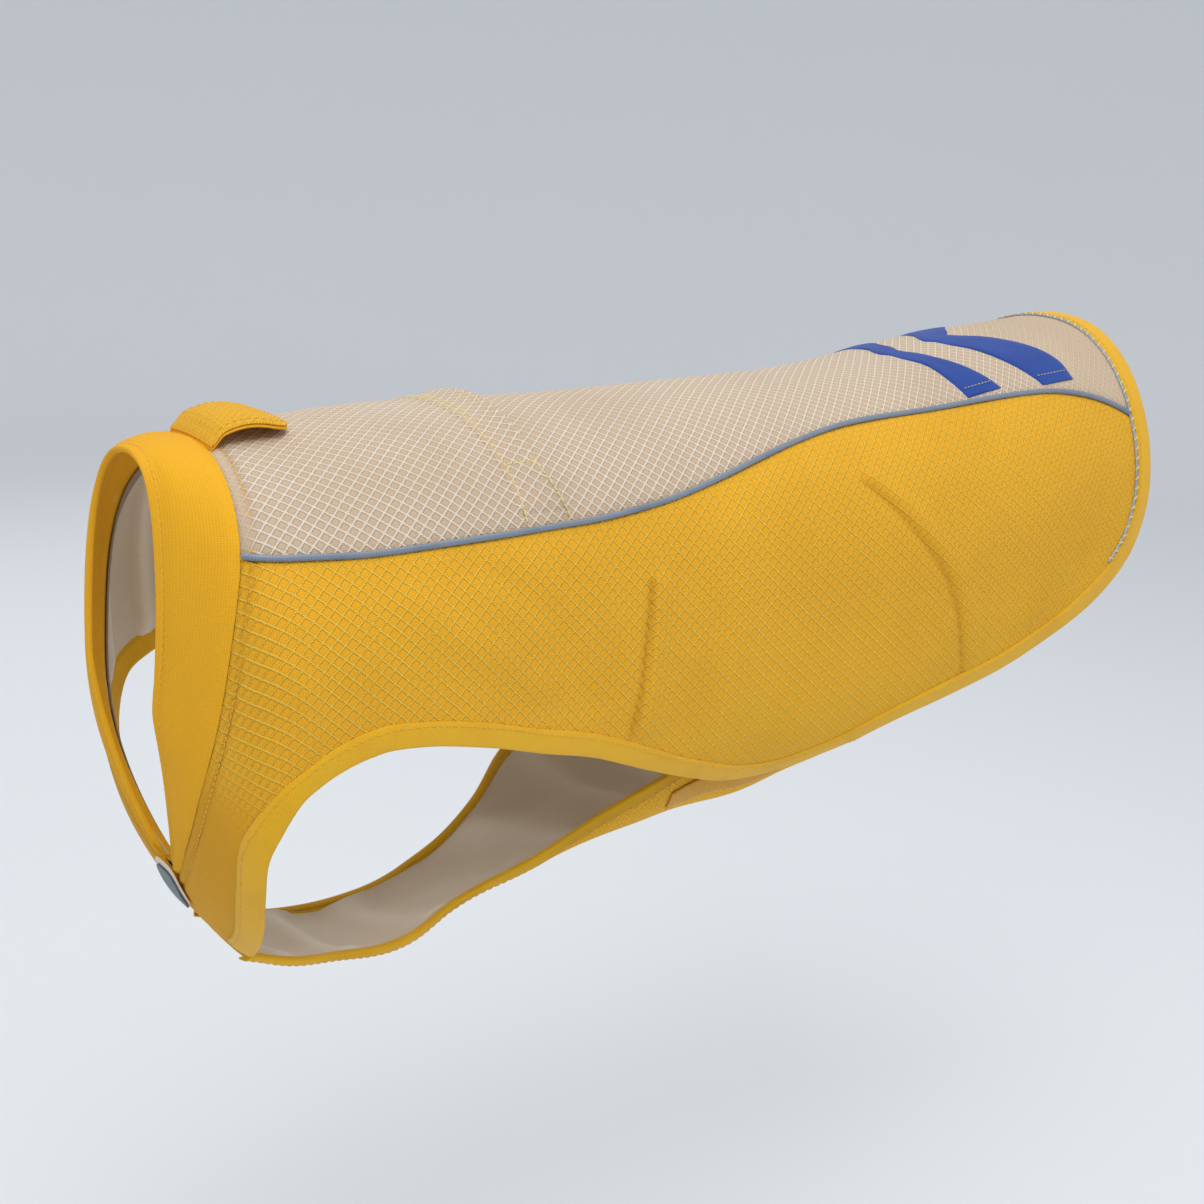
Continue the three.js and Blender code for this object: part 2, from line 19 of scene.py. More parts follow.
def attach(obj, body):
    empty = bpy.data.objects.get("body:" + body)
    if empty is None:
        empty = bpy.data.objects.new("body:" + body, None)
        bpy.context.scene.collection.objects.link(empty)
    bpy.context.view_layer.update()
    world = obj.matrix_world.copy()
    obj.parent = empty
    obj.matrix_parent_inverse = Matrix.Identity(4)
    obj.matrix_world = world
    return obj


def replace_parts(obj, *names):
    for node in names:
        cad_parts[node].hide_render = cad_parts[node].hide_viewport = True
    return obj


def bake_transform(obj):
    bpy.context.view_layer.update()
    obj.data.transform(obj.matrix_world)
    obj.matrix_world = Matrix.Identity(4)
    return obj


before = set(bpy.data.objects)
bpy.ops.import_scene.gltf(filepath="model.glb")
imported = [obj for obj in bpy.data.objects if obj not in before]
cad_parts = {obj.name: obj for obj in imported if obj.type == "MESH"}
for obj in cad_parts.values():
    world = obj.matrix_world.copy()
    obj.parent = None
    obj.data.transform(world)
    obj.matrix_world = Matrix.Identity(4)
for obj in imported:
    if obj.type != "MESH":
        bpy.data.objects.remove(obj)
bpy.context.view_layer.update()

Array = np.ndarray
LOG = logging.getLogger("vest")
MM = 0.001
CLOTH_UV = "cloth"

BODY_LENGTH, BODY_DEPTH, BODY_WIDTH = 0.480, 0.240, 0.162
BINDING_WIDTH = 10 * MM

# percent, top, bottom, half width, height of the widest line (shares of depth and width)
FORM_STATIONS = np.array([
    [-54, 0.325, 0.058, 0.049, 0.021], [-52, 0.338, -0.083, 0.198, 0.017],
    [-49.5, 0.345, -0.258, 0.383, 0.017], [-47, 0.350, -0.383, 0.481, 0.021],
    [-42.5, 0.356, -0.492, 0.500, 0.033], [-31, 0.375, -0.542, 0.494, 0.046],
    [-17, 0.379, -0.425, 0.469, 0.063], [0, 0.385, -0.367, 0.475, 0.067],
    [19, 0.408, -0.333, 0.500, 0.071], [35, 0.458, -0.296, 0.488, 0.083],
    [50, 0.488, -0.258, 0.451, 0.063],
])
# percent, half width (share of width), keel height and rise of the sides (shares of depth)
FLAP_STATIONS = np.array([
    [-43.2, 0.154, -0.490, 0.017], [-40, 0.154, -0.513, 0.019], [-36, 0.151, -0.531, 0.021],
    [-32, 0.148, -0.538, 0.021], [-28, 0.145, -0.527, 0.023], [-24, 0.136, -0.500, 0.025],
    [-20, 0.142, -0.471, 0.031], [-16, 0.191, -0.442, 0.050], [-12, 0.245, -0.417, 0.083],
    [-8, 0.272, -0.400, 0.113], [-3, 0.284, -0.388, 0.138], [5, 0.290, -0.375, 0.150],
    [13, 0.290, -0.346, 0.142], [20, 0.284, -0.317, 0.133],
])
BACK_SQUARENESS, BELLY_SQUARENESS, FLAP_SQUARENESS = 2.25, 2.6, 2.6

COLLAR_SEAM = [[-45.9, 0], [-46.5, 17], [-47.2, 34], [-48, 51.5], [-48.7, 65], [-49.2, 78],
               [-49.7, 98], [-50, 118], [-49.9, 136], [-49.2, 156], [-47.8, 177]]
COLLAR_EDGE = [[-51.1, 0], [-51.3, 18], [-51.5, 36], [-51.7, 54], [-51.8, 67], [-51.9, 80],
               [-52, 100], [-51.9, 120], [-51.3, 138], [-50.2, 156], [-48.6, 173]]
CENTRE_FRONT = [[-43.3, 179.7], [-45.5, 179.6]]
PIPING_LINE = [[-48, 51.5], [-43.4, 54], [-38.8, 56], [-33.2, 57], [-27.6, 57.5], [-22.8, 57.6],
               [-18, 57.4], [-13.8, 56], [-9.7, 53.6], [-5, 49.5], [-0.3, 44.8], [5, 39.8],
               [10.1, 36.4], [15.4, 35.4], [20.8, 36], [27.6, 37.8], [34.5, 40.2], [38.2, 42.5],
               [41.8, 46], [44.8, 50.2], [47.8, 55.5]]
SIDE_EDGE = [[-43.3, 164], [-44.8, 148], [-46.2, 134], [-46.7, 124], [-46.1, 115], [-45, 108],
             [-43.5, 104.4], [-41.6, 102], [-39.4, 100.5], [-37.1, 100], [-33, 101], [-28, 104],
             [-22.6, 109.3], [-17.3, 115], [-11.8, 122], [-6.3, 129], [-1, 135.5], [4.5, 138.5],
             [10.5, 134.5], [16.8, 127.5], [22.8, 123.5], [28.9, 119.8], [34, 114.5],
             [38.8, 108], [42.5, 100], [45.3, 90], [47.2, 77], [47.9, 64]]
TAIL_EDGE = [[47.9, 64], [48.1, 54], [48.5, 36], [48.96, 18], [49.2, 0]]
# [front edge, rear edge, degrees around] from the spine outwards
TAPE_FRONT = [[24.2, 26.6, 0], [24.7, 27.2, 10], [25.2, 28.2, 19], [25.6, 29.3, 28], [25.8, 30.4, 35.5]]
TAPE_REAR = [[29.9, 33.5, 0], [30.9, 36.4, 10], [32.2, 38.4, 19], [34.2, 39.8, 30], [35.3, 40, 38.3]]
PORT_WELT = [[-25.5, -21.6, 0], [-25.6, -22, 17], [-25.5, -22.1, 33], [-25.4, -21.2, 46], [-25.4, -20.4, 54.5]]


class Side(Enum):
    """The dog's left and right, with the sign of Y."""

    LEFT = -1
    RIGHT = 1


def smooth_step(value: Array, low: float, high: float) -> Array:
    """Rises smoothly from 0 at low to 1 at high.

    Args:
        value: Numbers to map.
        low: Where the rise starts.
        high: Where it ends.

    Returns:
        Numbers from 0 to 1.
    """
    t = np.clip((value - low) / (high - low), 0, 1)
    return t * t * (3 - 2 * t)


def hermite(knots: Array, values: Array, at: Array) -> Array:
    """Cubic through values at knots, whose slope at a knot is its neighbours' difference.

    Args:
        knots: Rising places.
        values: One value or row of values for each knot.
        at: Places to read.

    Returns:
        A value or row for each place.
    """
    count = len(knots)
    low, high = np.maximum(np.arange(count) - 1, 0), np.minimum(np.arange(count) + 1, count - 1)
    shape = (-1,) + (1,) * (values.ndim - 1)
    slopes = (values[high] - values[low]) / (knots[high] - knots[low]).reshape(shape)
    place = np.asarray(at, float)
    i = np.clip(np.searchsorted(knots, place, side="right") - 1, 0, count - 2)
    span, t = knots[i + 1] - knots[i], (place - knots[i]) / (knots[i + 1] - knots[i])
    if values.ndim > 1:
        span, t = span[..., None], t[..., None]
    return ((2 * t**3 - 3 * t**2 + 1) * values[i] + (t**3 - 2 * t**2 + t) * span * slopes[i]
            + (3 * t**2 - 2 * t**3) * values[i + 1] + (t**3 - t**2) * span * slopes[i + 1])


def unit(vectors: Array) -> Array:
    """Vectors at length one."""
    return vectors / np.maximum(np.linalg.norm(vectors, axis=-1, keepdims=True), 1e-12)


def distance_to(points: Array, path: Array) -> Array:
    """Distance of each point to the nearest point of a path.

    Args:
        points: Points, in any grid.
        path: Points of the path, close together.

    Returns:
        One distance for each point.
    """
    flat = points.reshape(-1, points.shape[-1])
    squares = (flat**2).sum(1)[:, None] + (path**2).sum(1)[None] - 2 * flat @ path.T
    return np.sqrt(np.maximum(squares.min(1), 0)).reshape(points.shape[:-1])


class Form:
    """A smooth surface that cloth lies on, read by pattern point."""

    outward = 1.0
    step = 0.25

    def point(self, percent: Array, around: Array) -> Array:
        """Point of the surface."""
        raise NotImplementedError

    def slopes(self, pattern: Array) -> tuple[Array, Array]:
        """Central differences of the surface along the body and around it."""
        p, a = pattern[..., 0], pattern[..., 1]
        low, high = self.limited(a - self.step), self.limited(a + self.step)
        along = (self.point(p + self.step, a) - self.point(p - self.step, a)) / (2 * self.step)
        return along, (self.point(p, high) - self.point(p, low)) / (high - low)[..., None]

    def limited(self, around: Array) -> Array:
        """Angles that the surface has."""
        return around

    def normal(self, pattern: Array) -> Array:
        """Outward unit normal: the cross product of the two slopes."""
        along, across = self.slopes(pattern)
        return unit(self.outward * np.cross(along, across))

    def lift(self, pattern: Array, offset: Array | float) -> Array:
        """Pattern points moved off the surface, outwards positive.

        Args:
            pattern: Pattern points.
            offset: One offset, or one for each point.

        Returns:
            Points.
        """
        return (self.point(pattern[..., 0], pattern[..., 1])
                + self.normal(pattern) * np.asarray(offset)[..., None])

    def steps_for(self, pattern: Array, vector: Array) -> Array:
        """Pattern steps that move points along vectors, by least squares in the two slopes."""
        along, across = self.slopes(pattern)
        e, f, g = (along * along).sum(-1), (along * across).sum(-1), (across * across).sum(-1)
        r, s = (along * vector).sum(-1), (across * vector).sum(-1)
        det = e * g - f * f
        return np.stack([(g * r - f * s) / det, (e * s - f * r) / det], -1)

    def measure(self, first: float, last: float, widest: float) -> None:
        """Sums arc lengths along the body and out from the middle into tables.

        Args:
            first: Percent of the first row.
            last: Percent of the last row.
            widest: Angle of the last column.
        """
        self.rows, self.columns = np.linspace(first, last, 261), np.linspace(0, widest, 185)
        points = self.point(*np.meshgrid(self.rows, self.columns, indexing="ij"))
        along = np.cumsum(np.linalg.norm(np.diff(points, axis=0, prepend=points[:1]), axis=2), axis=0)
        across = np.cumsum(np.linalg.norm(np.diff(points, axis=1, prepend=points[:, :1]), axis=2), axis=1)
        middle = int(np.argmin(np.abs(self.rows)))
        self.table = np.stack([along - along[middle], across], -1)

    def fabric(self, pattern: Array) -> Array:
        """Place on the flat cloth, in metres, read between the rows and columns of the tables."""
        r = (pattern[..., 0] - self.rows[0]) / (self.rows[1] - self.rows[0])
        c = np.abs(pattern[..., 1]) / (self.columns[1] - self.columns[0])
        r, c = np.clip(r, 0, len(self.rows) - 1.001), np.clip(c, 0, len(self.columns) - 1.001)
        i, j = r.astype(int), c.astype(int)
        s, t = (r - i)[..., None], (c - j)[..., None]
        found = ((self.table[i, j] * (1 - s) + self.table[i + 1, j] * s) * (1 - t)
                 + (self.table[i, j + 1] * (1 - s) + self.table[i + 1, j + 1] * s) * t)
        return found * np.stack([np.ones_like(c), np.where(pattern[..., 1] < 0, -1.0, 1.0)], -1)


class TorsoForm(Form):
    """Torso: each cross-section is a superellipse, its reach (|sin|^n + |cos|^n)^(-1/n)."""

    def __init__(self) -> None:
        """Measures the flat cloth."""
        self.measure(-54, 50, 184)

    def point(self, percent: Array, around: Array) -> Array:
        """Point of the torso."""
        angle = np.radians(around)
        side, up = np.sin(angle), np.cos(angle)
        power = np.where(up > 0, BACK_SQUARENESS, BELLY_SQUARENESS)
        reach = (np.abs(side) ** power + np.abs(up) ** power) ** (-1 / power)
        top, bottom, half, widest = (hermite(FORM_STATIONS[:, 0], FORM_STATIONS[:, k], percent) for k in (1, 2, 3, 4))
        height = np.where(up > 0, top - widest, widest - bottom) * BODY_DEPTH
        return np.stack([percent / 100 * BODY_LENGTH + 0 * side, half * BODY_WIDTH * side * reach,
                         widest * BODY_DEPTH + height * up * reach], -1)


class FlapForm(Form):
    """Belly flap: a shallow trough whose section is a superellipse, angles -90 to 90."""

    outward = -1.0

    def __init__(self) -> None:
        """Measures the flat cloth."""
        self.measure(-44, 21, 90)

    def limited(self, around: Array) -> Array:
        """Angles up to the flap's edges."""
        return np.clip(around, -90, 90)

    def point(self, percent: Array, around: Array) -> Array:
        """Point of the flap."""
        angle = np.radians(around)
        half, keel, rise = (hermite(FLAP_STATIONS[:, 0], FLAP_STATIONS[:, k], percent) for k in (1, 2, 3))
        bend = lambda value: np.sign(value) * np.abs(value) ** (2 / FLAP_SQUARENESS)  # noqa: E731
        return np.stack([percent / 100 * BODY_LENGTH + 0 * angle, half * BODY_WIDTH * bend(np.sin(angle)),
                         (keel + rise * (1 - bend(np.cos(angle)))) * BODY_DEPTH], -1)


TORSO, FLAP = TorsoForm(), FlapForm()


class PatternLine:
    """A smooth line through pattern points."""

    def __init__(self, points: Sequence[Sequence[float]]) -> None:
        """Keeps the points that the line passes through."""
        self.knots = np.array(points, float)

    def at(self, place: Array) -> Array:
        """Pattern points at places counted in knots."""
        return hermite(np.arange(len(self.knots), dtype=float), self.knots, place)

    def even(self, form: Form, step: float, first: float = 0, last: float | None = None) -> Array:
        """Pattern points spaced evenly along the line on a form.

        Args:
            form: Surface that the line lies on.
            step: Distance between points.
            first: Knot that the points start from.
            last: Knot that they end at; the last one if None.

        Returns:
            Pattern points.
        """
        last = len(self.knots) - 1 if last is None else last
        fine = np.linspace(first, last, max(int((last - first) * 24), 48))
        points = form.lift(self.at(fine), 0.0)
        length = np.concatenate([[0], np.cumsum(np.linalg.norm(np.diff(points, axis=0), axis=1))])
        count = max(int(round(length[-1] / step)), 2)
        return self.at(np.interp(np.linspace(0, length[-1], count + 1), length, fine))


def mirrored(points: Sequence[Sequence[float]]) -> list[list[float]]:
    """The same pattern points on the dog's other side."""
    return [[percent, -around] for percent, around in points]


def inset(form: Form, line: Array, width: float | Array, sign: float = 1.0) -> Array:
    """A line moved sideways over its form.

    Args:
        form: Surface that the line lies on.
        line: Pattern points.
        width: Distance, to the line's left seen from outside.
        sign: -1 to move it the other way.

    Returns:
        Pattern points.
    """
    tangent = np.gradient(form.lift(line, 0.0), axis=0)
    outward = unit(np.cross(tangent, form.normal(line))) * sign
    return line + form.steps_for(line, -outward * np.asarray(width)[..., None])


@dataclass
class Patch:
    """A grid of faces with a place on the cloth for each corner."""

    points: Array
    quads: Array
    uvs: Array

    @staticmethod
    def lattice(points: Array, uv: Array, wrap: bool = False) -> "Patch":
        """Faces between the neighbours of a grid of points.

        Args:
            points: Rows by columns by 3.
            uv: The same by 2, with one more column where it wraps.
            wrap: Joins the last column to the first.

        Returns:
            The patch.
        """
        rows, columns = points.shape[:2]
        i, j = np.meshgrid(np.arange(rows - 1), np.arange(columns - (0 if wrap else 1)), indexing="ij")
        i, j = i.ravel(), j.ravel()
        corners = [(i, j), (i + 1, j), (i + 1, j + 1), (i, j + 1)]
        quads = np.stack([a * columns + b % columns for a, b in corners], 1)
        return Patch(points.reshape(-1, 3), quads, np.stack([uv[a, b] for a, b in corners], 1))

    @staticmethod
    def joined(patches: Sequence["Patch"]) -> "Patch":
        """Several patches as one."""
        starts = np.cumsum([0] + [len(p.points) for p in patches[:-1]])
        return Patch(np.concatenate([p.points for p in patches]),
                     np.concatenate([p.quads + s for p, s in zip(patches, starts)]),
                     np.concatenate([p.uvs for p in patches]))


def piece(name: str, patch: Patch, material: bpy.types.Material, slot: str,
          marks: dict[str, Array] | None = None, smooth_below: float = 55) -> bpy.types.Object:
    """Makes an object of a patch: doubles merged, faces turned out, smooth shaded.

    Args:
        name: Name of the piece.
        patch: Its faces.
        material: Its material.
        slot: Not used.
        marks: Numbers for each point, kept as attributes.
        smooth_below: Edges sharper than this many degrees stay sharp.

    Returns:
        The object.
    """
    mesh = bpy.data.meshes.new(name)
    mesh.vertices.add(len(patch.points))
    mesh.vertices.foreach_set("co", patch.points.astype(np.float32).ravel())
    mesh.loops.add(patch.quads.size)
    mesh.loops.foreach_set("vertex_index", patch.quads.astype(np.int32).ravel())
    mesh.polygons.add(len(patch.quads))
    mesh.polygons.foreach_set("loop_start", np.arange(0, patch.quads.size, 4, dtype=np.int32))
    mesh.uv_layers.new(name=CLOTH_UV).data.foreach_set("uv", patch.uvs.astype(np.float32).ravel())
    for mark, values in (marks or {}).items():
        layer = mesh.attributes.new(mark, "FLOAT", "POINT")
        layer.data.foreach_set("value", values.astype(np.float32).ravel())
    mesh.update(calc_edges=True)
    mesh.validate()
    work = bmesh.new()
    work.from_mesh(mesh)
    bmesh.ops.remove_doubles(work, verts=work.verts, dist=2e-6)
    bmesh.ops.dissolve_degenerate(work, edges=work.edges, dist=1e-7)
    bmesh.ops.recalc_face_normals(work, faces=work.faces)
    work.to_mesh(mesh)
    work.free()
    mesh.shade_smooth()
    mesh.set_sharp_from_angle(angle=math.radians(smooth_below))
    mesh.materials.append(material)
    made = bpy.data.objects.new(name, mesh)
    bpy.context.scene.collection.objects.link(made)
    LOG.info("%s: %d faces", name, len(mesh.polygons))
    return made


def cloth_solid(outer: Array, inner: Array, uv: Array) -> Patch:
    """Closed sheet between two grids, its rims rounded through a middle row.

    Args:
        outer: Grid of the outer face.
        inner: Grid of the inner face.
        uv: Place of each column on the cloth.

    Returns:
        The patch: the section of each row runs out along the outer face and back along the inner.
    """
    def rim(a: Array, b: Array, inside: Array) -> Array:
        middle = (a + b) / 2
        return middle + unit(middle - inside) * np.linalg.norm(a - b, axis=-1, keepdims=True) * 0.35

    last, first = rim(outer[:, -1], inner[:, -1], (outer[:, -2] + inner[:, -2]) / 2), \
        rim(outer[:, 0], inner[:, 0], (outer[:, 1] + inner[:, 1]) / 2)
    section = np.concatenate([outer, last[:, None], inner[:, ::-1], first[:, None]], axis=1)
    places = np.concatenate([uv, uv[:, -1:], uv[:, ::-1], uv[:, :1], uv[:, :1]], axis=1)
    patches = [Patch.lattice(section, places, wrap=True)]
    for row, beside in ((0, 1), (-1, -2)):
        a, b = outer[row], inner[row]
        middle = rim(a, b, (outer[beside] + inner[beside]) / 2)
        middle[0], middle[-1] = first[row], last[row]
        patches.append(Patch.lattice(np.stack([a, middle, b]), np.stack([uv[row]] * 3)))
    return Patch.joined(patches)


def spread(values: Array) -> Array:
    """Marks for every point of a cloth solid, from those of its grid."""
    section = np.concatenate([values, values[:, -1:], values[:, ::-1], values[:, :1]], axis=1)
    caps = [np.tile(values[row], 3) for row in (0, -1)]
    return np.concatenate([section.ravel(), *caps])


def swept(sections: Array, u: Array, v: Array) -> Patch:
    """Closed sections joined along a path, each end drawn in to its middle.

    Args:
        sections: Rows of section points.
        u: Length along the path for each row.
        v: Length around the section, one more than its points.

    Returns:
        The patch.
    """
    ends = [np.repeat(sections[k].mean(0)[None, None], sections.shape[1], axis=1) for k in (0, -1)]
    grid = np.concatenate([ends[0], sections, ends[1]])
    length = np.concatenate([u[:1], u, u[-1:]])
    return Patch.lattice(grid, np.stack(np.meshgrid(length, v, indexing="ij"), -1), wrap=True)


def lengths(points: Array) -> Array:
    """Length along a path at each of its points."""
    return np.concatenate([[0], np.cumsum(np.linalg.norm(np.diff(points, axis=0), axis=1))])


def tube(points: Array, normals: Array, radius: float | Array, sides: int = 12,
         shape: Callable[[Array, Array], Array] | None = None) -> Patch:
    """Round cord: circles of radius r about a path, in the plane of its normal and side.

    Args:
        points: Path.
        normals: Upward direction at each point.
        radius: Radius, or one for each point.
        sides: Points in a circle.
        shape: Factor on the radius from turn and length.

    Returns:
        The patch.
    """
    tangent = unit(np.gradient(points, axis=0))
    normal = unit(normals - (normals * tangent).sum(-1, keepdims=True) * tangent)
    across = np.cross(tangent, normal)
    turn = np.linspace(0, 2 * np.pi, sides, endpoint=False)
    along = lengths(points)
    size = np.broadcast_to(np.asarray(radius, float).reshape(-1, 1), (len(points), sides)).copy()
    if shape:
        size *= shape(turn[None], along[:, None])
    ring = (points[:, None] + normal[:, None] * (np.cos(turn) * size)[..., None]
            + across[:, None] * (np.sin(turn) * size)[..., None])
    return swept(ring, along, np.linspace(0, 2 * np.pi * float(np.max(radius)), sides + 1))


@dataclass
class Stitching:
    """A row of stitches: each a short thread that dips at both ends."""

    pitch: float = 3.2 * MM
    share: float = 0.78
    radius: float = 0.3 * MM
    bow: float = 0.28 * MM

    def patch(self, points: Array, normals: Array, slant: float = 0.0) -> Patch:
        """Thread bodies along a path; each is a tube along x = t, z = bow * sin(pi t).

        Args:
            points: Path on the cloth.
            normals: Outward direction at each point.
            slant: How far each stitch turns across the path, in radians.

        Returns:
            All stitches as one patch.
        """
        along = lengths(points)
        count = max(int(along[-1] / self.pitch), 1)
        middle = (np.arange(count) + 0.5) * along[-1] / count
        read = lambda rows, at: np.stack([np.interp(at, along, rows[:, k]) for k in range(3)], -1)  # noqa: E731
        centre, normal = read(points, middle), unit(read(normals, middle))
        tangent = unit(read(points, middle + 0.3 * MM) - read(points, middle - 0.3 * MM))
        side = np.cross(tangent, normal)
        direction = tangent * math.cos(slant) + side * math.sin(slant)
        across = np.cross(direction, normal)
        half = self.pitch * self.share / 2
        t = np.linspace(-1, 1, 7)
        thick = self.radius * np.sqrt(np.clip(1 - t**4, 0, 1))
        turn = np.linspace(0, 2 * np.pi, 6, endpoint=False)
        rise = self.bow * (1 - t**2) - self.radius * 0.35
        local = [centre[:, None, None] + direction[:, None, None] * (t * half)[None, :, None, None]
                 + normal[:, None, None] * (rise[:, None] + thick[:, None] * np.cos(turn))[None, ..., None]
                 + across[:, None, None] * (thick[:, None] * np.sin(turn))[None, ..., None]][0]
        u, v = np.meshgrid(t * half, np.linspace(0, 1, 7), indexing="ij")
        unit_patch = Patch.lattice(local[0], np.stack([u, v * MM], -1), wrap=True)
        points_all = local.reshape(count, -1, 3)
        size = points_all.shape[1]
        return Patch(points_all.reshape(-1, 3),
                     (unit_patch.quads[None] + (np.arange(count) * size)[:, None, None]).reshape(-1, 4),
                     np.tile(unit_patch.uvs, (count, 1, 1)))


# --------------------------------------------------------------------------- materials


class Signal:
    """A shader value that adds Math nodes when it is used in an expression."""

    def __init__(self, shop: "Shop", socket: bpy.types.NodeSocket) -> None:
        """Wraps a socket."""
        self.shop, self.socket = shop, socket

    def __add__(self, other: "Signal | float") -> "Signal":
        """Sum."""
        return self.shop.math("ADD", self, other)

    __radd__ = __add__

    def __sub__(self, other: "Signal | float") -> "Signal":
        """Difference."""
        return self.shop.math("SUBTRACT", self, other)

    def __rsub__(self, other: float) -> "Signal":
        """Difference from a number."""
        return self.shop.math("SUBTRACT", other, self)

    def __mul__(self, other: "Signal | float") -> "Signal":
        """Product."""
        return self.shop.math("MULTIPLY", self, other)

    __rmul__ = __mul__

    def __truediv__(self, other: float) -> "Signal":
        """Quotient."""
        return self.shop.math("DIVIDE", self, other)

    def wave(self, period: float) -> "Signal":
        """Sine of the value, from 0 to 1, over a period."""
        return self.shop.math("SINE", self * (2 * math.pi / period)) * 0.5 + 0.5

    def fold(self) -> "Signal":
        """Distance to the nearest whole number."""
        return 0.5 - self.shop.math("ABSOLUTE", self.shop.math("FRACT", self) - 0.5)

    def ramp(self, low: float, high: float, start: float = 0.0, end: float = 1.0) -> "Signal":
        """Smooth rise from start at low to end at high."""
        node = self.shop.node("ShaderNodeMapRange", {"interpolation_type": "SMOOTHSTEP"},
                              {0: self, 1: low, 2: high, 3: start, 4: end})
        return Signal(self.shop, node.outputs[0])


class Shop:
    """Builds one material from nodes."""

    def __init__(self, name: str) -> None:
        """Starts an empty material with its shader and output."""
        self.material = bpy.data.materials.new(name)
        self.material.use_nodes = True
        self.tree = self.material.node_tree
        self.tree.nodes.clear()
        self.shader = self.tree.nodes.new("ShaderNodeBsdfPrincipled")
        output = self.tree.nodes.new("ShaderNodeOutputMaterial")
        self.tree.links.new(self.shader.outputs[0], output.inputs[0])

    def node(self, kind: str, settings: dict | None = None, inputs: dict | None = None) -> bpy.types.Node:
        """Adds a node.

        Args:
            kind: Node type.
            settings: Properties, set first.
            inputs: Values, sockets or signals by input name or number.

        Returns:
            The node.
        """
        made = self.tree.nodes.new(kind)
        for key, value in (settings or {}).items():
            setattr(made, key, value)
        for key, value in (inputs or {}).items():
            self.feed(made.inputs[key], value)
        return made

    def feed(self, socket: bpy.types.NodeSocket, value: object) -> None:
        """Gives a socket a value, another socket or a signal."""
        if isinstance(value, Signal):
            self.tree.links.new(value.socket, socket)
        elif isinstance(value, bpy.types.NodeSocket):
            self.tree.links.new(value, socket)
        else:
            socket.default_value = value

    def math(self, operation: str, *values: "Signal | float") -> Signal:
        """Math node on values."""
        return Signal(self, self.node("ShaderNodeMath", {"operation": operation}, dict(enumerate(values))).outputs[0])

    def cloth(self) -> tuple[Signal, Signal]:
        """Place on the cloth, in metres."""
        place = self.node("ShaderNodeUVMap", {"uv_map": CLOTH_UV}).outputs[0]
        split = self.node("ShaderNodeSeparateXYZ", None, {0: place})
        return Signal(self, split.outputs[0]), Signal(self, split.outputs[1])

    def mark(self, name: str) -> Signal:
        """A point attribute."""
        return Signal(self, self.node("ShaderNodeAttribute", {"attribute_name": name}).outputs["Fac"])

    def noise(self, scale: float, detail: float = 2.0) -> Signal:
        """Noise over the object, about 0.5."""
        place = self.node("ShaderNodeTexCoord").outputs["Object"]
        node = self.node("ShaderNodeTexNoise", None, {"Vector": place, "Scale": scale, "Detail": detail})
        return Signal(self, node.outputs[0])

    def mix(self, share: "Signal | float", a: object, b: object) -> bpy.types.NodeSocket:
        """Mixes two colours.

        Args:
            share: How much of the second.
            a: First colour, as numbers or a socket.
            b: Second colour.

        Returns:
            Colour socket.
        """
        made = self.node("ShaderNodeMix", {"data_type": "RGBA"}, {0: share})
        for key, value in ((6, a), (7, b)):
            self.feed(made.inputs[key], (*value, 1.0) if isinstance(value, tuple) else value)
        return made.outputs[2]

    def finish(self, colour: bpy.types.NodeSocket, height: Signal, depth: float, roughness: "Signal | float",
               **sockets: float | tuple) -> bpy.types.Material:
        """Wires the shader.

        Args:
            colour: Base colour.
            height: Relief, from 0 to 1.
            depth: Metres of relief.
            roughness: Roughness.
            **sockets: Other sockets of the shader, with _ for spaces.

        Returns:
            The material.
        """
        bump = self.node("ShaderNodeBump", None, {"Strength": 1.0, "Distance": depth, "Height": height})
        self.feed(self.shader.inputs["Base Color"], colour)
        self.feed(self.shader.inputs["Roughness"], roughness)
        self.feed(self.shader.inputs["Normal"], bump.outputs[0])
        for key, value in sockets.items():
            self.feed(self.shader.inputs[key.replace("_", " ")], value)
        return self.material


Colour = tuple[float, float, float]


def colour(hex_code: str) -> Colour:
    """Linear colour of an sRGB code."""
    values = [int(hex_code[k:k + 2], 16) / 255 for k in (0, 2, 4)]
    return tuple(v / 12.92 if v <= 0.04045 else ((v + 0.055) / 1.055) ** 2.4 for v in values)


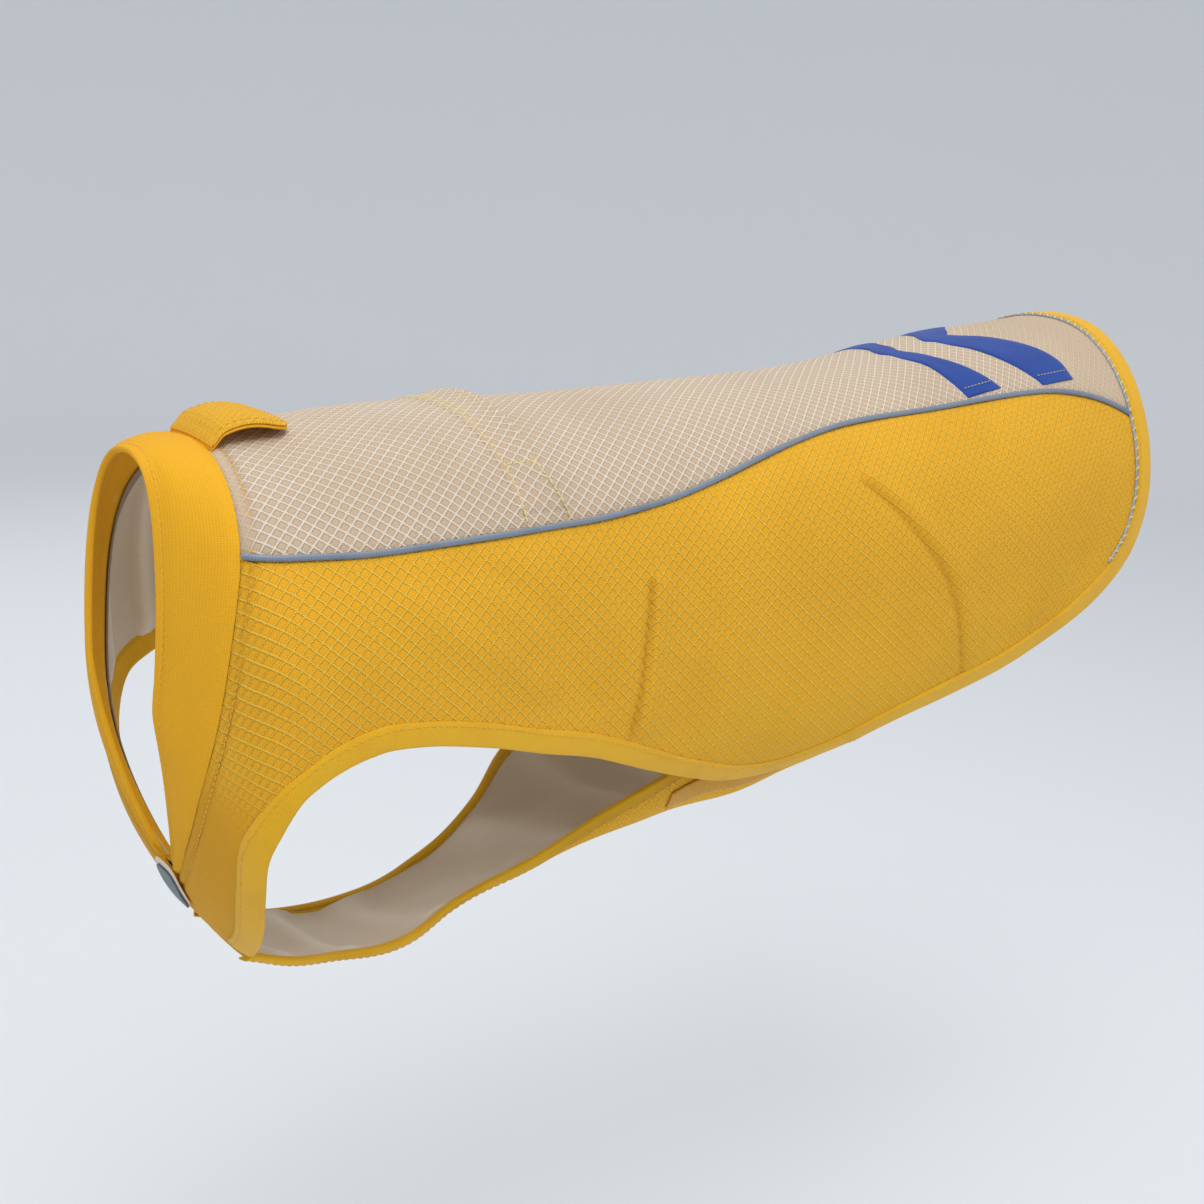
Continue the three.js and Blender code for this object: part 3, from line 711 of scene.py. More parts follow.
@dataclass(frozen=True)
class DiamondMesh:
    """Knitted mesh with a raised diamond lattice over open cells."""

    name: str
    cell: Colour
    thread: Colour
    shade: Colour
    width: float
    pitch_along: float = 5.5 * MM
    pitch_across: float = 5.1 * MM
    relief: float = 0.55 * MM

    def build(self) -> bpy.types.Material:
        """The lattice lies where u/p + v/q or u/p - v/q is whole; plain marks calm it."""
        shop = Shop(self.name)
        u, v = shop.cloth()
        ease = shop.math("MAXIMUM", u + 0.05, 0.0)
        scale = ease * ease * 2.4 + 1.0
        wobble = (shop.noise(90, 1) - 0.5) * 0.16
        rising = (u / self.pitch_along + v / self.pitch_across) * scale
        falling = (u / self.pitch_along - v / self.pitch_across) * scale
        near = shop.math("SMOOTH_MIN", (rising + wobble).fold(), (falling - wobble).fold(), 0.12)
        lattice = near.ramp(self.width - 0.085, self.width + 0.075, 1.0, 0.0)
        knot = ((rising + wobble).fold() + (falling - wobble).fold()).ramp(0.02, 0.17, 1.0, 0.0)
        weave = u.wave(0.95 * MM) * v.wave(0.85 * MM)
        plain, tone = shop.mark("plain"), shop.mark("tone")
        shown = lattice * (1 - plain)
        cell = shop.mix(weave * 0.35, self.cell, self.shade)
        # painted shadow: the open cells darken beside the raised lattice threads
        rim = near.ramp(self.width + 0.02, self.width + 0.16, 1.0, 0.0) * (1 - lattice)
        cell = shop.mix(rim * 0.45, cell, self.shade)
        base = shop.mix(shown * (0.72 + knot * 0.28) * (0.86 + weave * 0.14), cell, self.thread)
        base = shop.mix(plain * 0.55, base, self.cell)
        cloudy = shop.mix(shop.noise(16, 3).ramp(0.35, 0.7) * 0.16, base, self.shade)
        # painted shade from the tone mark: darker in creases, seam grooves and on the lower chest
        final = shop.mix(tone * 0.75, cloudy, self.shade)
        height = shown * (0.7 + weave * 0.12 + knot * 0.25) + weave * 0.18
        return shop.finish(final, height, self.relief, 0.82 - shown * 0.14, Sheen_Weight=0.25, Sheen_Roughness=0.5,
                           Sheen_Tint=(*self.thread, 1.0), Specular_IOR_Level=0.3)


@dataclass(frozen=True)
class FineKnit:
    """Plain jersey: rows of small loops, slightly heathered."""

    name: str
    yarn: Colour
    shade: Colour
    wale: float = 1.0 * MM
    course: float = 0.8 * MM
    relief: float = 0.14 * MM
    roughness: float = 0.8

    def build(self) -> bpy.types.Material:
        """Loops lie where a sine along each wale crosses a sine around it."""
        shop = Shop(self.name)
        u, v = shop.cloth()
        loops = (u + (v.wave(self.wale) * 0.25 * MM)).wave(self.course) * v.wave(self.wale)
        heather = shop.noise(900, 2)
        tone = shop.mark("tone")
        base = shop.mix(loops * 0.35 + (heather - 0.4) * 0.35, self.yarn, self.shade)
        base = shop.mix(shop.noise(14, 3).ramp(0.35, 0.75) * 0.2, base, self.shade)
        # painted shade from the tone mark: darker in the valleys between the lining's folds
        final = shop.mix(tone * 0.7, base, self.shade)
        return shop.finish(final, loops * -0.7 + heather * 0.5, self.relief, self.roughness + heather * 0.1,
                           Sheen_Weight=0.3, Sheen_Roughness=0.45, Sheen_Tint=(*self.yarn, 1.0),
                           Specular_IOR_Level=0.25)


@dataclass(frozen=True)
class Ribbon:
    """Woven tape: ribs or twill lines across its width."""

    name: str
    yarn: Colour
    shade: Colour
    rib: float = 0.9 * MM
    slope: float = 0.0
    relief: float = 0.16 * MM
    roughness: float = 0.6

    def build(self) -> bpy.types.Material:
        """Ribs are a sine along the tape, slanted by its width; threads cross them."""
        shop = Shop(self.name)
        u, v = shop.cloth()
        ribs = (u + v * self.slope).wave(self.rib)
        threads = v.wave(0.55 * MM)
        worn = shop.noise(60, 3)
        base = shop.mix((1 - ribs) * 0.4 + threads * 0.12, self.yarn, self.shade)
        final = shop.mix(worn.ramp(0.4, 0.75) * 0.28, base, self.shade)
        return shop.finish(final, ribs * 0.8 + threads * 0.2 + worn * 0.6, self.relief,
                           self.roughness + (1 - ribs) * 0.15, Sheen_Weight=0.15, Specular_IOR_Level=0.35)


@dataclass(frozen=True)
class Reflective:
    """Fabric coated with fine glass beads: dull silver with a speckle and a weave below."""

    name: str
    face: Colour
    shade: Colour
    roughness: float = 0.42

    def build(self) -> bpy.types.Material:
        """Beads are fine noise; the weave is two crossed sines."""
        shop = Shop(self.name)
        u, v = shop.cloth()
        weave = u.wave(1.1 * MM) * v.wave(0.9 * MM)
        beads = shop.noise(2600, 1)
        worn = shop.noise(70, 3).ramp(0.45, 0.75)
        base = shop.mix(weave * 0.45 + beads * 0.25, self.face, self.shade)
        final = shop.mix(worn * 0.35, base, self.shade)
        return shop.finish(final, weave * 0.6 + beads * 0.4, 0.1 * MM, self.roughness + worn * 0.2, Metallic=0.15,
                           Specular_IOR_Level=0.5)


@dataclass(frozen=True)
class Thread:
    """Twisted sewing thread."""

    name: str
    yarn: Colour
    shade: Colour

    def build(self) -> bpy.types.Material:
        """Plies are a sine of length plus turn."""
        shop = Shop(self.name)
        u, v = shop.cloth()
        ply = (u + v * 0.6).wave(0.5 * MM)
        base = shop.mix(ply * 0.5, self.yarn, self.shade)
        final = shop.mix(shop.noise(300, 2) * 0.3, base, self.shade)
        return shop.finish(final, ply, 0.08 * MM, 0.62, Sheen_Weight=0.2)


@dataclass(frozen=True)
class Fastener:
    """Hook or loop tape: rows of tiny tufts on a woven ground."""

    name: str
    tuft: Colour
    shade: Colour
    pitch: float = 1.6 * MM

    def build(self) -> bpy.types.Material:
        """Tufts stand where two crossed sines are both high."""
        shop = Shop(self.name)
        u, v = shop.cloth()
        tufts = (u.wave(self.pitch) * v.wave(self.pitch)).ramp(0.15, 0.75)
        fuzz = shop.noise(1500, 2)
        final = shop.mix(tufts * 0.6 + fuzz * 0.3, self.shade, self.tuft)
        return shop.finish(final, tufts + fuzz * 0.4, 0.45 * MM, 0.9, Sheen_Weight=0.3)


class Finishes:
    """Every material of the vest."""

    def __init__(self) -> None:
        """Builds each finish once."""
        self.yellow_mesh = DiamondMesh("yellow_mesh", colour("F2B020"), colour("FFD652"),
                                       colour("C88C12"), width=0.085).build()
        self.cream_mesh = DiamondMesh("cream_mesh", colour("CBB397"), colour("F4E8D9"),
                                      colour("A58767"), width=0.12).build()
        self.yellow_knit = FineKnit("yellow_knit", colour("F0B224"), colour("D08C10")).build()
        self.cream_lining = FineKnit("cream_lining", colour("F0E6D6"), colour("CDBBA2"), wale=0.9 * MM,
                                     course=0.7 * MM, relief=0.06 * MM, roughness=0.6).build()
        self.fleece = FineKnit("absorbent_fleece", colour("EDE9DF"), colour("CFC8BA"), wale=1.8 * MM,
                               course=1.6 * MM, relief=0.4 * MM, roughness=0.9).build()
        self.binding = Ribbon("yellow_binding", colour("F6C004"), colour("E09C02"), rib=0.8 * MM, slope=1.0).build()
        self.blue_tape = Ribbon("royal_blue_tape", colour("0B45A4"), colour("072C72"), rib=1.0 * MM).build()
        self.seam_tape = Ribbon("seam_tape", colour("A0917F"), colour("76695B"), rib=0.9 * MM).build()
        self.reflective = Reflective("reflective_piping", colour("8795A6"), colour("5F6C7E")).build()
        self.cord = Reflective("reflective_cord", colour("ABAEB2"), colour("85898F")).build()
        self.reflector = Reflective("chest_reflector", colour("5A6872"), colour("3C474F")).build()
        self.thread = Thread("yellow_thread", colour("F6C234"), colour("D08E10")).build()
        self.pale_thread = Thread("pale_thread", colour("F0DC98"), colour("D2B564")).build()
        self.grey_thread = Thread("grey_thread", colour("B9B48C"), colour("8C8868")).build()
        self.hooks = Fastener("fastener_hooks", colour("DCC39A"), colour("A88C62")).build()
        self.loops = Fastener("fastener_loops", colour("F2B424"), colour("D89A18"), pitch=1.1 * MM).build()


# --------------------------------------------------------------------------- vest

EDGE_STEP = 1.6 * MM
LEFT_HALF = mirrored(SIDE_EDGE)
WHOLE_EDGE = PatternLine(LEFT_HALF[:-1] + mirrored(TAIL_EDGE) + TAIL_EDGE[::-1][1:] + SIDE_EDGE[::-1][1:])
EDGE_KNOTS = len(WHOLE_EDGE.knots) - 1
EDGE_PATH = WHOLE_EDGE.even(TORSO, EDGE_STEP)
EDGE_POINTS = TORSO.lift(EDGE_PATH, 0.0)
HALF_SEAM = PatternLine(COLLAR_SEAM)
SEAM_PATH = HALF_SEAM.even(TORSO, EDGE_STEP)
PIPING_PATH = PatternLine(PIPING_LINE).even(TORSO, EDGE_STEP)
SEAM_POINTS = TORSO.lift(np.concatenate([SEAM_PATH, SEAM_PATH * [1, -1]]), 0.0)
PIPING_POINTS = TORSO.lift(np.concatenate([PIPING_PATH, PIPING_PATH * [1, -1]]), 0.0)


@dataclass(frozen=True)
class Ridge:
    """A soft fold or crease along a line of pattern points on the right side."""

    line: tuple[tuple[float, float], ...]
    height: float
    width: float

    def profile(self, place: Array) -> Array:
        """Bell of the distance to the line on the flat cloth: exp(-(d / width)^2).

        Args:
            place: Places on the flat cloth, the right side's.

        Returns:
            Numbers from 0 to 1.
        """
        knots = PatternLine(self.line)
        path = TORSO.fabric(knots.at(np.linspace(0, len(self.line) - 1, 90)))
        share = distance_to(place, path) / self.width
        return np.exp(-share**2)


FRONT_CREASE = Ridge(((-13.7, 78), (-14, 97), (-14.5, 113)), -1.3 * MM, 1.5 * MM)
REAR_CREASE = Ridge(((10, 56), (14.6, 72), (20, 95), (24.1, 124)), -1.2 * MM, 1.6 * MM)
SOFT_FOLDS = (
    Ridge(((-12.6, 78), (-12.9, 97), (-13.4, 113)), 1.2 * MM, 4 * MM),
    Ridge(((11.2, 55), (15.8, 71), (21.2, 94), (25.3, 123)), 1.1 * MM, 4 * MM),
    Ridge(((-36, 70), (-32, 82), (-25, 96)), 1.0 * MM, 7 * MM),
    Ridge(((-30, 64), (-24, 80), (-19, 103)), -0.9 * MM, 6 * MM),
    Ridge(((-21, 62), (-18, 84), (-13, 112)), 0.9 * MM, 6 * MM),
    Ridge(((-5, 66), (-4, 92), (-5, 122)), 0.9 * MM, 9 * MM),
    Ridge(((4, 60), (8, 88), (11, 120)), -0.7 * MM, 9 * MM),
    Ridge(((28, 56), (31, 78), (31, 104)), 0.8 * MM, 9 * MM),
    Ridge(((38, 58), (40, 76), (38, 96)), -0.6 * MM, 7 * MM),
    Ridge(((-46, 80), (-44, 96), (-45.6, 112)), 0.8 * MM, 5 * MM),
    Ridge(((-46.5, 128), (-46.8, 146), (-45.6, 160)), -0.9 * MM, 6 * MM),
)


def cloth_relief(pattern: Array) -> Array:
    """Height of the torso's cloth above its form from seams, creases and folds.

    Args:
        pattern: Pattern points on the torso.

    Returns:
        Offsets in metres, for the shell and the lining alike.
    """
    place = TORSO.fabric(pattern * np.where(pattern[..., 1:] < 0, [1, -1], [1, 1]))
    ridges = (*SOFT_FOLDS, FRONT_CREASE, REAR_CREASE)
    relief = sum(ridge.height * ridge.profile(place) for ridge in ridges)
    points = TORSO.lift(pattern, 0.0)
    gentle = 0.35 * MM * np.sin(place[..., 0] / 0.021 + 2 * np.sin(place[..., 1] / 0.03))
    calm = smooth_step(np.minimum(distance_to(points, SEAM_POINTS), distance_to(points, PIPING_POINTS)), 0, 14 * MM)
    edge = smooth_step(distance_to(points, EDGE_POINTS), 4 * MM, 20 * MM)
    return (relief + gentle) * calm * edge


@dataclass(frozen=True)
class Cut:
    """Flat size of a sheet: its pattern laid on the smooth form, before folds, relief and thickness."""

    width: float
    length: float
    area: float

    @classmethod
    def strip(cls, points: Array) -> "Cut":
        """Longest row and column of a grid of points, and its area."""
        diagonals = np.cross(points[1:, 1:] - points[:-1, :-1], points[1:, :-1] - points[:-1, 1:])
        length, width = (np.linalg.norm(np.diff(points, axis=k), axis=-1).sum(k).max() for k in (0, 1))
        return cls(float(width), float(length), float(np.linalg.norm(diagonals, axis=-1).sum() / 2))

    @classmethod
    def panel(cls, form: Form, pattern: Array) -> "Cut":
        """Smallest upright rectangle round the pattern in its cloth's own map, and the pattern's area."""
        length, width = np.ptp(form.fabric(pattern).reshape(-1, 2), axis=0)
        return cls(float(width), float(length), cls.strip(form.lift(pattern, 0.0)).area)

    def declare(self, made: bpy.types.Object, held: str, rests_on: Sequence[str]) -> None:
        """Takes the piece, how it is held and what it rests on, and does nothing with them.
        States the sheet, at the narrowest width that one may have where it is narrower.
        """


@dataclass
class PanelLayers:
    """Offsets of the layers of a body panel, counted inwards from the outer face."""

    shell: float = 1.1 * MM
    core_depth: float = 1.5 * MM
    core: float = 1.0 * MM
    lining_depth: float = 2.8 * MM
    lining: float = 0.7 * MM
    edge_lining_depth: float = 1.35 * MM
    seam_dip: float = 0.9 * MM
    stitch_groove: float = 0.75 * MM
    stitch_inset: float = 4.6 * MM
    lining_fold: float = 2.4 * MM

    def outer(self, pattern: Array, points: Array) -> Array:
        """Outer face: dips into the seams, with a groove under the stitches beside the collar."""
        seam, piping = distance_to(points, SEAM_POINTS), distance_to(points, PIPING_POINTS)
        dip = self.seam_dip * (1 - smooth_step(np.minimum(piping, seam), 0, 3.2 * MM))
        groove = self.stitch_groove * np.exp(-((seam - self.stitch_inset) / (0.9 * MM)) ** 2)
        return cloth_relief(pattern) - dip - groove

    def folds(self, pattern: Array) -> Array:
        """Upright folds of the lining, from 0 to 1: a sine along the body that wanders around it."""
        place = TORSO.fabric(pattern)
        phase = place[..., 0] / 0.0042 + 1.5 * np.sin(place[..., 1] / 0.05) + 0.9 * np.sin(place[..., 0] / 0.017)
        return np.maximum(np.sin(phase), 0) ** 1.5

    def grids(self, pattern: Array) -> dict[str, tuple[Array, Array]]:
        """Outer and inner grid of each layer.

        Args:
            pattern: Grid of pattern points.

        Returns:
            Layer name to its two grids.
        """
        points = TORSO.lift(pattern, 0.0)
        outer = self.outer(pattern, points)
        edge = smooth_step(distance_to(points, EDGE_POINTS), 3 * MM, 15 * MM)
        lining = self.edge_lining_depth + (self.lining_depth - self.edge_lining_depth) * edge
        lining = lining + self.lining_fold * edge * self.folds(pattern)
        relief = cloth_relief(pattern)
        faces = {"shell": (outer, self.shell), "core": (relief - self.core_depth, self.core),
                 "lining": (relief - lining, self.lining)}
        return {layer: (TORSO.lift(pattern, face), TORSO.lift(pattern, face - thick))
                for layer, (face, thick) in faces.items()}


@dataclass
class Panel:
    """A body panel: mesh shell, absorbent core and lining, cut from one grid."""

    finishes: Finishes
    layers: PanelLayers

    def sheets(self, names: dict[str, str], pattern: Array, shell: bpy.types.Material, shell_slot: str,
               marks: dict[str, Array], core: tuple[slice, slice]) -> dict[str, bpy.types.Object]:
        """Makes the three sheets.

        Args:
            names: Piece name of each layer.
            pattern: Grid of pattern points.
            shell: Material of the shell.
            shell_slot: Its slot.
            marks: Marks of the shell for each grid point.
            core: Part of the grid that the core covers.

        Returns:
            The pieces by layer.
        """
        grids, uv = self.layers.grids(pattern), TORSO.fabric(pattern)
        made = {}
        for layer, material, slot in (("shell", shell, shell_slot), ("core", self.finishes.fleece, "absorbent_core"),
                                      ("lining", self.finishes.cream_lining, "cream_lining")):
            part = core if layer == "core" else (slice(None), slice(None))
            outer, inner = (grid[part] for grid in grids[layer])
            patch = cloth_solid(outer, inner, uv[part])
            # core and lining: tone is painted shade, darkest between the crests of the lining's folds
            own = marks if layer == "shell" else {"tone": 0.75 * (1 - self.layers.folds(pattern)[part])}
            found = {key: spread(value) for key, value in own.items()}
            made[layer] = piece(names[layer], patch, material, slot, found)
            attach(made[layer], "vest")
            rests_on = names["core"] if layer == "lining" else names["lining"]
            Cut.panel(TORSO, pattern[part]).declare(made[layer], "stretched", [rests_on])
        return made


class SidePanel(Panel):
    """Yellow panel from the chest over the shoulder to the tail."""

    def pattern(self, side: Side) -> Array:
        """Grid from the collar seam and piping down to the edge, one row for each step along both."""
        front_rows, rows, columns = 9, len(PIPING_LINE) - 1, 52
        seam = [point for point in COLLAR_SEAM[3:]][::-1]
        front = PatternLine(CENTRE_FRONT + seam)
        rear = PatternLine(PIPING_LINE)
        low = PatternLine(SIDE_EDGE)
        place = np.linspace(0, front_rows + rows, 12 * (front_rows + rows) + 1)
        top = np.where((place <= front_rows)[:, None], front.at(np.clip(place, 0, front_rows)),
                       rear.at(np.clip(place - front_rows, 0, rows)))
        share = (len(SIDE_EDGE) - 1 - front_rows) / rows
        bottom = low.at(np.where(place <= front_rows, place, front_rows + (place - front_rows) * share))
        bottom[:, 1] -= 0.3
        t = np.linspace(0, 1, columns) ** 0.95
        grid = top[:, None] + (bottom - top)[:, None] * t[None, :, None]
        grid[..., 1] = np.minimum(grid[..., 1], 179.85)
        return grid * [1, side.value]

    def build(self, side: Side) -> None:
        name = side.name.lower()
        pattern = self.pattern(side)
        place = TORSO.fabric(pattern * [1, side.value])
        # tone is painted shade: darker along the two creases
        tone = 0.9 * FRONT_CREASE.profile(place) + 0.8 * REAR_CREASE.profile(place)
        points = TORSO.lift(pattern, 0.0)
        seam = distance_to(points, SEAM_POINTS)
        # painted shade in the stitch groove beside the collar and along the seam itself
        tone = tone + 0.9 * np.exp(-((seam - self.layers.stitch_inset) / (1.0 * MM)) ** 2)
        tone = tone + 0.5 * np.exp(-(seam / (1.2 * MM)) ** 2)
        # lower chest painted darker as shade, its lattice calmed where it turns away from the light
        chest = (1 - smooth_step(pattern[..., 0], -45, -39)) * smooth_step(np.abs(pattern[..., 1]), 104, 132)
        tone = tone + 0.8 * chest
        names = {"shell": f"{name}_mesh_panel", "core": f"{name}_core_sheet", "lining": f"{name}_lining_sheet"}
        marks = {"tone": np.clip(tone, 0, 1), "plain": np.clip(chest, 0, 1)}
        made = self.sheets(names, pattern, self.finishes.yellow_mesh, "yellow_mesh", marks,
                           (slice(110, 324), slice(4, 42)))
        for layer, node in (("shell", "panel_shell"), ("core", "cooling_core"), ("lining", "panel_lining")):
            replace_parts(made[layer], f"{name}_{node}")


class BackPanel(Panel):
    """Cream panel along the spine, between the two pipings."""

    def pattern(self) -> Array:
        """Grid from collar to tail: each row bows towards the tail by 1 - share squared."""
        rows, columns = len(PIPING_LINE) - 1, 69
        place = np.linspace(0, rows, 9 * rows + 1)
        rim = PatternLine(PIPING_LINE).at(place)
        share = np.linspace(-1, 1, columns)
        seam = HALF_SEAM.at(np.linspace(0, 3, 200))
        tail = PatternLine(TAIL_EDGE).at(np.linspace(0, len(TAIL_EDGE) - 1, 200))
        angle = np.abs(share)[None] * rim[:, 1:]
        front = np.interp(angle, seam[:, 1], seam[:, 0]) - seam[-1, 0]
        tail_order = np.argsort(tail[:, 1])
        back = np.interp(angle, tail[tail_order, 1], tail[tail_order, 0]) - rim[-1, 0]
        t = (place / rows)[:, None]
        shift = front * (1 - smooth_step(t, 0, 0.45)) + back * smooth_step(t, 0.5, 1)
        return np.stack([rim[:, :1] + shift, share[None] * rim[:, 1:]], -1)

    def build(self) -> None:
        pattern = self.pattern()
        points = TORSO.lift(pattern, 0.0)
        seam = distance_to(points, SEAM_POINTS)
        folded = 0.8 * (1 - smooth_step(seam, 3.6 * MM, 4.8 * MM))
        plain = np.maximum(0.55 * smooth_step(pattern[..., 0], 30, 44), folded)
        # painted shade in the stitch groove beside the collar seam
        tone = 0.6 * np.exp(-((seam - self.layers.stitch_inset) / (0.9 * MM)) ** 2)
        made = self.sheets({"shell": "back_mesh_panel", "core": "back_core_sheet", "lining": "back_lining_sheet"},
                           pattern, self.finishes.cream_mesh, "cream_mesh", {"tone": tone, "plain": plain},
                           (slice(8, 172), slice(6, 63)))
        for layer, node in (("shell", "panel_shell"), ("core", "cooling_core"), ("lining", "panel_lining")):
            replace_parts(made[layer], f"back_{node}")


@dataclass
class FoldedTape:
    """Edge binding: a tape folded round the edge of the cloth, its section a hairpin."""

    width: float = 0.9 * BINDING_WIDTH
    thickness: float = 0.5 * MM
    face: float = 0.75 * MM
    depth: float = 2.9 * MM
    pucker: float = 0.1 * MM
    pucker_length: float = 7.5 * MM

    def section(self) -> tuple[Array, Array]:
        """Places out from the edge and heights of the hairpin, outer loop then inner loop back."""
        width, face, depth, thin = self.width, self.face, self.depth, self.thickness
        radius, middle = (face + depth) / 2, (face - depth) / 2
        inner_radius = radius - thin
        turn = np.linspace(np.pi / 2, -np.pi / 2, 9)
        arm = [-width, -width + 0.25 * MM, -0.72 * width, -0.4 * width, -0.16 * width]
        above = [0.25 * MM, face - 0.1 * MM, face + 0.1 * MM, face + 0.12 * MM, face]
        below = [-depth, -depth - 0.1 * MM, -depth - 0.1 * MM, -depth + 0.1 * MM, -depth + 0.5 * MM]
        inner_arm = [-width + 0.1 * MM, -0.4 * width]
        out = np.concatenate([arm, 0.62 * radius * np.cos(turn), arm[::-1],
                              inner_arm, 0.55 * inner_radius * np.cos(turn[::-1]) - 0.1 * MM, inner_arm[::-1]])
        up = np.concatenate([above, middle + radius * np.sin(turn), below,
                             [-depth + thin + 0.15 * MM, -depth + thin],
                             middle + inner_radius * np.sin(turn[::-1]), [face - thin, -0.05 * MM]])
        return out, up

    def patch(self, form: Form, edge: Array, relief: Callable[[Array], Array] | None = None,
              sign: float = 1.0) -> Patch:
        """Carries the hairpin along an edge.

        Args:
            form: Surface that the cloth lies on.
            edge: Pattern points of the edge.
            relief: Height of the cloth above the form.
            sign: -1 where the cloth lies on the line's other side.

        Returns:
            The patch.
        """
        points = form.lift(edge, 0.0)
        along = lengths(points)
        wobble = 0.35 * MM * np.sin(along / 0.017) + 0.2 * MM * np.sin(along / 0.0071 + 1)
        outward = unit(np.cross(np.gradient(points, axis=0), form.normal(edge))) * sign
        lip = edge + form.steps_for(edge, -outward * (self.width + wobble)[:, None])
        out, up = self.section()
        share = np.clip(1 + out / self.width, 0, 1)
        pattern = lip[:, None] + (edge - lip)[:, None] * share[None, :, None]
        ripple = self.pucker * np.sin(along * 2 * np.pi / self.pucker_length)[:, None]
        ripple = ripple * np.exp(-((share - 0.2) / 0.12) ** 2)
        height = up[None] + np.where(up[None] > -1 * MM, ripple, -ripple)
        if relief:
            height = height + relief(pattern)
        base = form.lift(pattern, height)
        sections = base + outward[:, None] * np.maximum(out, 0)[None, :, None]
        around = np.concatenate([[0], np.cumsum(np.hypot(np.diff(out), np.diff(up))), [0]])
        around[-1] = around[-2] + 0.5 * MM
        return swept(sections, along, around)

    def stitches(self, form: Form, edge: Array, relief: Callable[[Array], Array] | None = None, sign: float = 1.0,
                 inset_by: float = 7.2 * MM) -> Patch:
        """Stitches along the binding, outside and inside."""
        line = inset(form, edge, inset_by, sign)
        height = relief(line) if relief else 0.0
        normal = form.normal(line)
        outer = form.lift(line, height + self.face + 0.12 * MM)
        inner = form.lift(line, height - self.depth - 0.12 * MM)
        thread = Stitching(radius=0.24 * MM, bow=0.12 * MM)
        return Patch.joined([thread.patch(outer, normal), thread.patch(inner, -normal)])


@dataclass
class EdgeTrim:
    """Binding of the whole vest, the pipings and the cord at the tail."""

    finishes: Finishes
    piping_radius: float = 1.2 * MM
    cord_radius: float = 0.8 * MM
    cord_inset: float = 10.4 * MM
    cord_reach: float = 6.8

    def build(self) -> None:
        """Makes the trims."""
        tape = FoldedTape()
        binding = piece("edge_binding", tape.patch(TORSO, EDGE_PATH), self.finishes.binding, "yellow_binding")
        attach(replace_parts(binding, "left_edge_binding", "tail_binding", "right_edge_binding"), "vest")
        stitched = piece("edge_stitching", tape.stitches(TORSO, EDGE_PATH), self.finishes.thread, "yellow_binding")
        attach(stitched, "vest")
        for side in Side:
            self.piping(side)
        self.tail_cord()

    def piping(self, side: Side) -> None:
        """Round piping between back and side, with a row of stitches below it."""
        route = PatternLine(PIPING_LINE).even(TORSO, 1.4 * MM, 0.03, len(PIPING_LINE) - 1 - 0.62) * [1, side.value]
        along = lengths(TORSO.lift(route, 0.0))
        lift = 0.15 * MM + 0.15 * MM * np.sin(along / 0.011)
        core = tube(TORSO.lift(route, lift), TORSO.normal(route), self.piping_radius, 14)
        flange = inset(TORSO, route, -side.value * 1.2 * MM)
        thread = Stitching(pitch=2.6 * MM, radius=0.2 * MM, bow=0.15 * MM).patch(
            TORSO.lift(flange, -0.25 * MM), TORSO.normal(flange))
        name = side.name.lower()
        made = piece(f"{name}_reflective_piping", core, self.finishes.reflective, "reflective_grey")
        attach(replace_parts(made, f"{name}_piping"), "vest")
        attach(piece(f"{name}_piping_stitching", thread, self.finishes.thread, "yellow_binding"), "vest")

    def tail_cord(self) -> None:
        """Two-ply cord inside the tail binding, held by slanting stitches."""
        middle = EDGE_KNOTS / 2
        edge = WHOLE_EDGE.even(TORSO, 0.9 * MM, middle - self.cord_reach, middle + self.cord_reach)
        route = inset(TORSO, edge, self.cord_inset)
        points, normals = TORSO.lift(route, 0.3 * MM), TORSO.normal(route)
        twist = lambda turn, along: 1 + 0.22 * np.cos(2 * (turn - along * 2 * np.pi / (7.5 * MM)))  # noqa: E731
        cord = tube(points, normals, self.cord_radius, 12, twist)
        made = piece("tail_reflective_cord", cord, self.finishes.cord, "reflective_grey")
        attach(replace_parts(made, "left_tail_cord", "tail_cord", "right_tail_cord"), "vest")
        wraps = Stitching(pitch=4.6 * MM, share=0.74, radius=0.4 * MM, bow=0.9 * MM).patch(
            TORSO.lift(route, 0.45 * MM), normals, slant=0.8)
        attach(piece("tail_cord_stitching", wraps, self.finishes.pale_thread, "yellow_binding"), "vest")


